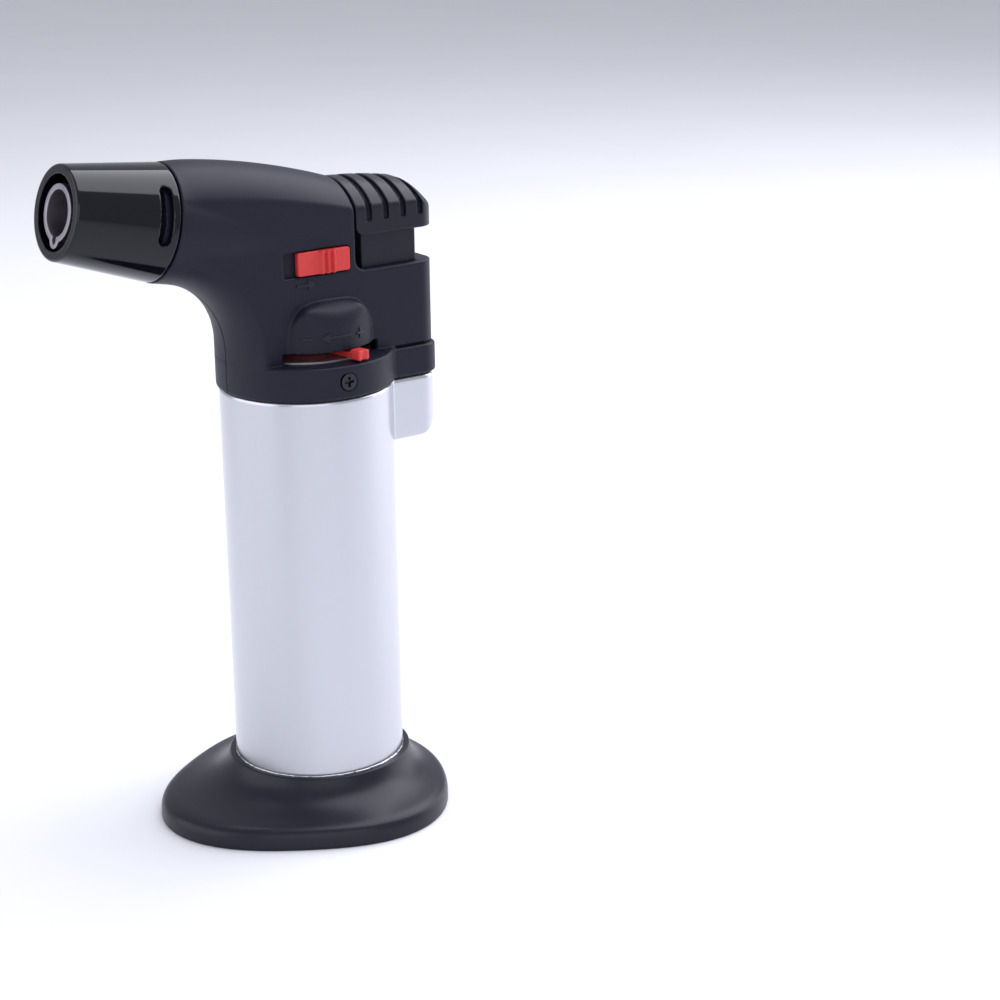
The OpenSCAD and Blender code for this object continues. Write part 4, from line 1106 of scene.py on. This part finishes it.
@dataclass
class Controls:
    """Red lock slider and flame lever, and the raised marks beside them."""

    lay: Layout

    def slider_solid(self, x: Array, y: Array, z: Array) -> Array:
        """Field of the lock slider."""
        low, high = node_box("lock_slider")
        lay = self.lay
        middle_x, middle_z = (low.x + high.x) / 2, (low.z + high.z) / 2
        face = lay.half_w + 0.4
        plate = rounded_rect(x - middle_x, z - middle_z, (high.x - low.x) / 2, (high.z - low.z) / 2, 0.5)
        plate = smax(plate, np.maximum(-face - y, y + lay.half_w - 1.15), 0.35)
        grip_x = low.x + 7.35
        grip = rounded_rect(x - grip_x, z - middle_z, 2.25, 2.55, 0.4)
        ribs = 0.42 * np.cos((x - grip_x) * 2 * math.pi / 1.5)
        grip = smax(grip, np.maximum(low.y + 0.45 - ribs - y, y + face - 0.4), 0.4)
        stud = np.maximum(np.maximum(np.abs(x - grip_x) - 2, np.abs(z - middle_z) - 1.25), np.maximum(-11.0 - y, y + 9.1))
        return np.minimum(smin(plate, grip, 0.3), stud)

    def lever_solid(self, x: Array, y: Array, z: Array) -> Array:
        """Field of the flame lever."""
        low, high = node_box("flame_lever")
        turn = math.radians(-79.5)
        along = x * math.cos(turn) + y * math.sin(turn)
        across = -x * math.sin(turn) + y * math.cos(turn)
        z0 = low.z + 0.1
        ring = np.maximum(np.hypot(x, y) - 8.5, 6.02 - np.hypot(x, y))
        arm = rounded_rect(along - 13.0, across, 6.4, 1.2, 0.2)
        flat = smax(np.minimum(ring, arm), slab_between(z, z0, z0 + 1.35), 0.25)
        tip = rounded_rect(along - 18.7, across, 1.58, 1.5, 0.35)
        notch = np.hypot(along - 20.55, across) - 0.75
        tip = smax(smax(tip, -notch, 0.2), slab_between(z, low.z, high.z), 0.4)
        return smin(flat, tip, 0.3)

    def mark(self, name: str, outline: Callable[[Array, Array], Array], box: tuple[float, float, float, float]) -> None:
        """Adds one raised mark that follows the bulge or the flat side.

        Args:
            name: Piece name.
            outline: Field of the mark in x and z.
            box: Lowest and highest x, then lowest and highest z.
        """
        head = Head(self.lay)

        def solid(x: Array, y: Array, z: Array) -> Array:
            """Field of the mark, a thin layer over the moulding."""
            skin = np.minimum(head.upper(x, y, z), head.dome(x, y, z, 0.0))
            return smax(outline(x, z), np.maximum(skin - 0.24, -skin - 0.2), 0.12)

        x0, x1, z0, z1 = box
        axes = (lines(x0, x1, 0.13), lines(-17.2, -11.0, 0.13), lines(z0, z1, 0.13))
        add_piece(name, NetMesher(solid, axes).build(), Finish.CAP, [], "torch_body")

    def build(self) -> None:
        """Meshes the slider, the lever and the marks and adds them."""
        low, high = node_box("lock_slider")
        axes = (lines(low.x, high.x, 0.2), lines(low.y, high.y, 0.2), lines(low.z, high.z, 0.2))
        mesh = NetMesher(self.slider_solid, axes).build()
        add_piece("lock_button", mesh, Finish.RED, ["lock_slider"], "lock_slider_body")
        low, high = node_box("flame_lever")
        axes = (lines(low.x, high.x, 0.25), lines(low.y, high.y, 0.25), lines(low.z, high.z, 0.2))
        mesh = NetMesher(self.lever_solid, axes).build()
        add_piece("flame_lever_arm", mesh, Finish.RED, ["flame_lever"], "flame_lever_body")
        dome_z = self.lay.ledge_z + 5.7
        lock_z = self.lay.collar_z + 25.0

        def minus(x: Array, z: Array) -> Array:
            """Short bar."""
            return rounded_rect(x + 7.75, z - dome_z, 1.15, 0.3, 0.1)

        def plus(x: Array, z: Array) -> Array:
            """Upright cross."""
            bar = rounded_rect(x - 5.6, z - dome_z, 1.15, 0.3, 0.1)
            return np.minimum(bar, rounded_rect(x - 5.6, z - dome_z, 0.3, 1.15, 0.1))

        def arrow(middle: float, level: float, half: float, sign: float) -> Callable[[Array, Array], Array]:
            """Outline of an arrow that points along x by its sign."""

            def outline(x: Array, z: Array) -> Array:
                """Shaft and head of the arrow."""
                u, v = (x - middle) * sign, z - level
                shaft = rounded_rect(u + 0.6, v, half - 0.8, 0.3, 0.1)
                point = np.maximum((u - half) * 0.5 + np.abs(v) * 0.86, half - 2.2 - u)
                return np.minimum(shaft, point)

            return outline

        self.mark("minus_mark", minus, (-9.1, -6.4, dome_z - 0.6, dome_z + 0.6))
        self.mark("plus_mark", plus, (4.2, 7.0, dome_z - 1.4, dome_z + 1.4))
        self.mark("flame_arrow", arrow(-1.0, dome_z, 4.0, -1.0), (-5.3, 3.3, dome_z - 1.6, dome_z + 1.6))
        self.mark("lock_arrow", arrow(-5.8, lock_z, 2.7, 1.0), (-8.8, -2.8, lock_z - 1.6, lock_z + 1.6))


@dataclass
class InnerWorks:
    """The frame's own nodes that stay: their finishes."""

    finishes: dict[str, Finish] = field(
        default_factory=lambda: {
            "tank_lid": Finish.STEEL,
            "refill_valve_body": Finish.BRASS,
            "refill_stem": Finish.STEEL,
            "refill_spring": Finish.SPRING,
            "refill_seal": Finish.RUBBER,
            "valve_body": Finish.BRASS,
            "valve_stem": Finish.BRASS,
            "valve_spring": Finish.SPRING,
            "valve_seal": Finish.RUBBER,
            "inlet_filter": Finish.WHITE,
            "valve_cover_plate": Finish.PLATE,
            "adjuster_wheel": Finish.BRASS,
            "gas_lever": Finish.STEEL,
            "gas_lever_pin": Finish.STEEL,
            "gas_hose": Finish.HOSE,
            "gas_jet": Finish.BRASS,
            "flame_holder": Finish.STEEL,
            "electrode": Finish.STEEL,
            "electrode_insulator": Finish.CERAMIC,
            "ignition_lead": Finish.LEAD,
            "piezo_body": Finish.UNIT,
            "piezo_plunger": Finish.WHITE,
            "piezo_spring": Finish.SPRING,
            "lock_retainer": Finish.STEEL,
            "collar_screws": Finish.SCREW,
            "housing_screws": Finish.SCREW,
        }
    )

    def dress(self) -> None:
        """Gives each node its finish."""
        for name, finish in self.finishes.items():
            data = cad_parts[name].data
            data.materials.clear()
            data.materials.append(finish.material())
            LOG.info("%s: %s", name, finish.name)


# ---- Studio ---------------------------------------------------------------------------------------


@dataclass
class Studio:
    """Floor, light and camera.

    Attributes:
        target_z: Height that the camera's place is measured from, in millimetres.
        distance: Distance of the camera from there.
    """

    target_z: float = 66.6
    distance: float = 566.683
    place_az: float = math.radians(-30.348)
    place_el: float = math.radians(18.114)
    yaw: float = math.radians(-35.062)
    pitch: float = math.radians(17.548)
    roll: float = math.radians(-0.802)
    lens: float = 86.7

    def floor(self) -> None:
        """Pale floor."""
        size = 3.0
        mesh = bpy.data.meshes.new("floor")
        corners = [(-size, -size, 0.0), (size, -size, 0.0), (size, size, 0.0), (-size, size, 0.0)]
        mesh.from_pydata(corners, [], [(0, 1, 2, 3)])
        ground = bpy.data.objects.new("floor", mesh)
        bpy.context.scene.collection.objects.link(ground)
        shader = Shader("studio_floor")
        cloud = shader.noise(shader.place(), 0.01, 2.0)
        shader.settings(Base_Color=shader.mix(cloud, (0.76, 0.76, 0.78), (0.8, 0.8, 0.82)), Roughness=0.6)
        mesh.materials.append(shader.material)

    def lamp(self, name: str, place: tuple[float, float, float], size: tuple[float, float], power: float) -> None:
        """Adds one soft panel that faces the torch.

        Args:
            name: Lamp name.
            place: Where it stands, in metres.
            size: Width and height, in metres.
            power: Power in watts.
        """
        data = bpy.data.lights.new(name, "AREA")
        data.shape = "RECTANGLE"
        data.size, data.size_y = size
        data.energy = power
        data.color = (0.93, 0.94, 1.0)
        lamp = bpy.data.objects.new(name, data)
        lamp.location = place
        aim = Vector((0.0, 0.0, 0.08)) - Vector(place)
        lamp.rotation_euler = aim.to_track_quat("-Z", "Y").to_euler()
        bpy.context.scene.collection.objects.link(lamp)

    def light(self) -> None:
        """Soft panels round the torch and a pale surround."""
        self.lamp("overhead", (0.42, 0.02, 0.9), (1.0, 1.1), 12.0)
        self.lamp("side_left", (-0.97, 0.26, 0.35), (1.4, 1.0), 6.0)
        self.lamp("side_right", (1.0, -0.1, 0.35), (0.75, 1.0), 4.6)
        self.lamp("front", (-0.53, -1.18, 0.45), (1.3, 0.9), 4.0)
        world = bpy.data.worlds.new("studio")
        world.use_nodes = True
        ground = world.node_tree.nodes["Background"]
        ground.inputs["Color"].default_value = (0.88, 0.9, 1.0, 1.0)
        ground.inputs["Strength"].default_value = 0.6
        bpy.context.scene.world = world
        bpy.context.scene.view_settings.view_transform = "Standard"

    def camera(self) -> None:
        """Camera at the viewing angle."""
        ahead = Vector(
            (
                -math.sin(self.yaw) * math.cos(self.pitch),
                math.cos(self.yaw) * math.cos(self.pitch),
                -math.sin(self.pitch),
            )
        )
        right = ahead.cross(Vector((0, 0, 1))).normalized()
        up = right.cross(ahead)
        r = right * math.cos(self.roll) + up * math.sin(self.roll)
        u = -right * math.sin(self.roll) + up * math.cos(self.roll)
        away = Vector(
            (
                math.sin(self.place_az) * math.cos(self.place_el),
                -math.cos(self.place_az) * math.cos(self.place_el),
                math.sin(self.place_el),
            )
        )
        place = (Vector((0, 0, self.target_z)) + away * self.distance) * MM
        data = bpy.data.cameras.new("camera")
        data.lens = self.lens
        data.sensor_width = 36.0
        data.clip_start, data.clip_end = 0.01, 20.0
        camera = bpy.data.objects.new("camera", data)
        camera.matrix_world = Matrix(
            ((r.x, u.x, -ahead.x, place.x), (r.y, u.y, -ahead.y, place.y), (r.z, u.z, -ahead.z, place.z), (0, 0, 0, 1))
        )
        bpy.context.scene.collection.objects.link(camera)
        bpy.context.scene.camera = camera

    def build(self) -> None:
        """Sets up the studio."""
        self.floor()
        self.light()
        self.camera()


def main() -> None:
    logging.basicConfig(level=logging.INFO, format="%(message)s")
    lay = Layout.from_frame()
    Studio().build()
    Foot(lay).build()
    RimLine(lay).build()
    Tank(lay).build()
    Head(lay).build()
    Barrel(lay).build()
    Trigger(lay).build()
    Controls(lay).build()
    InnerWorks().dress()


if __name__ == "__main__":
    main()
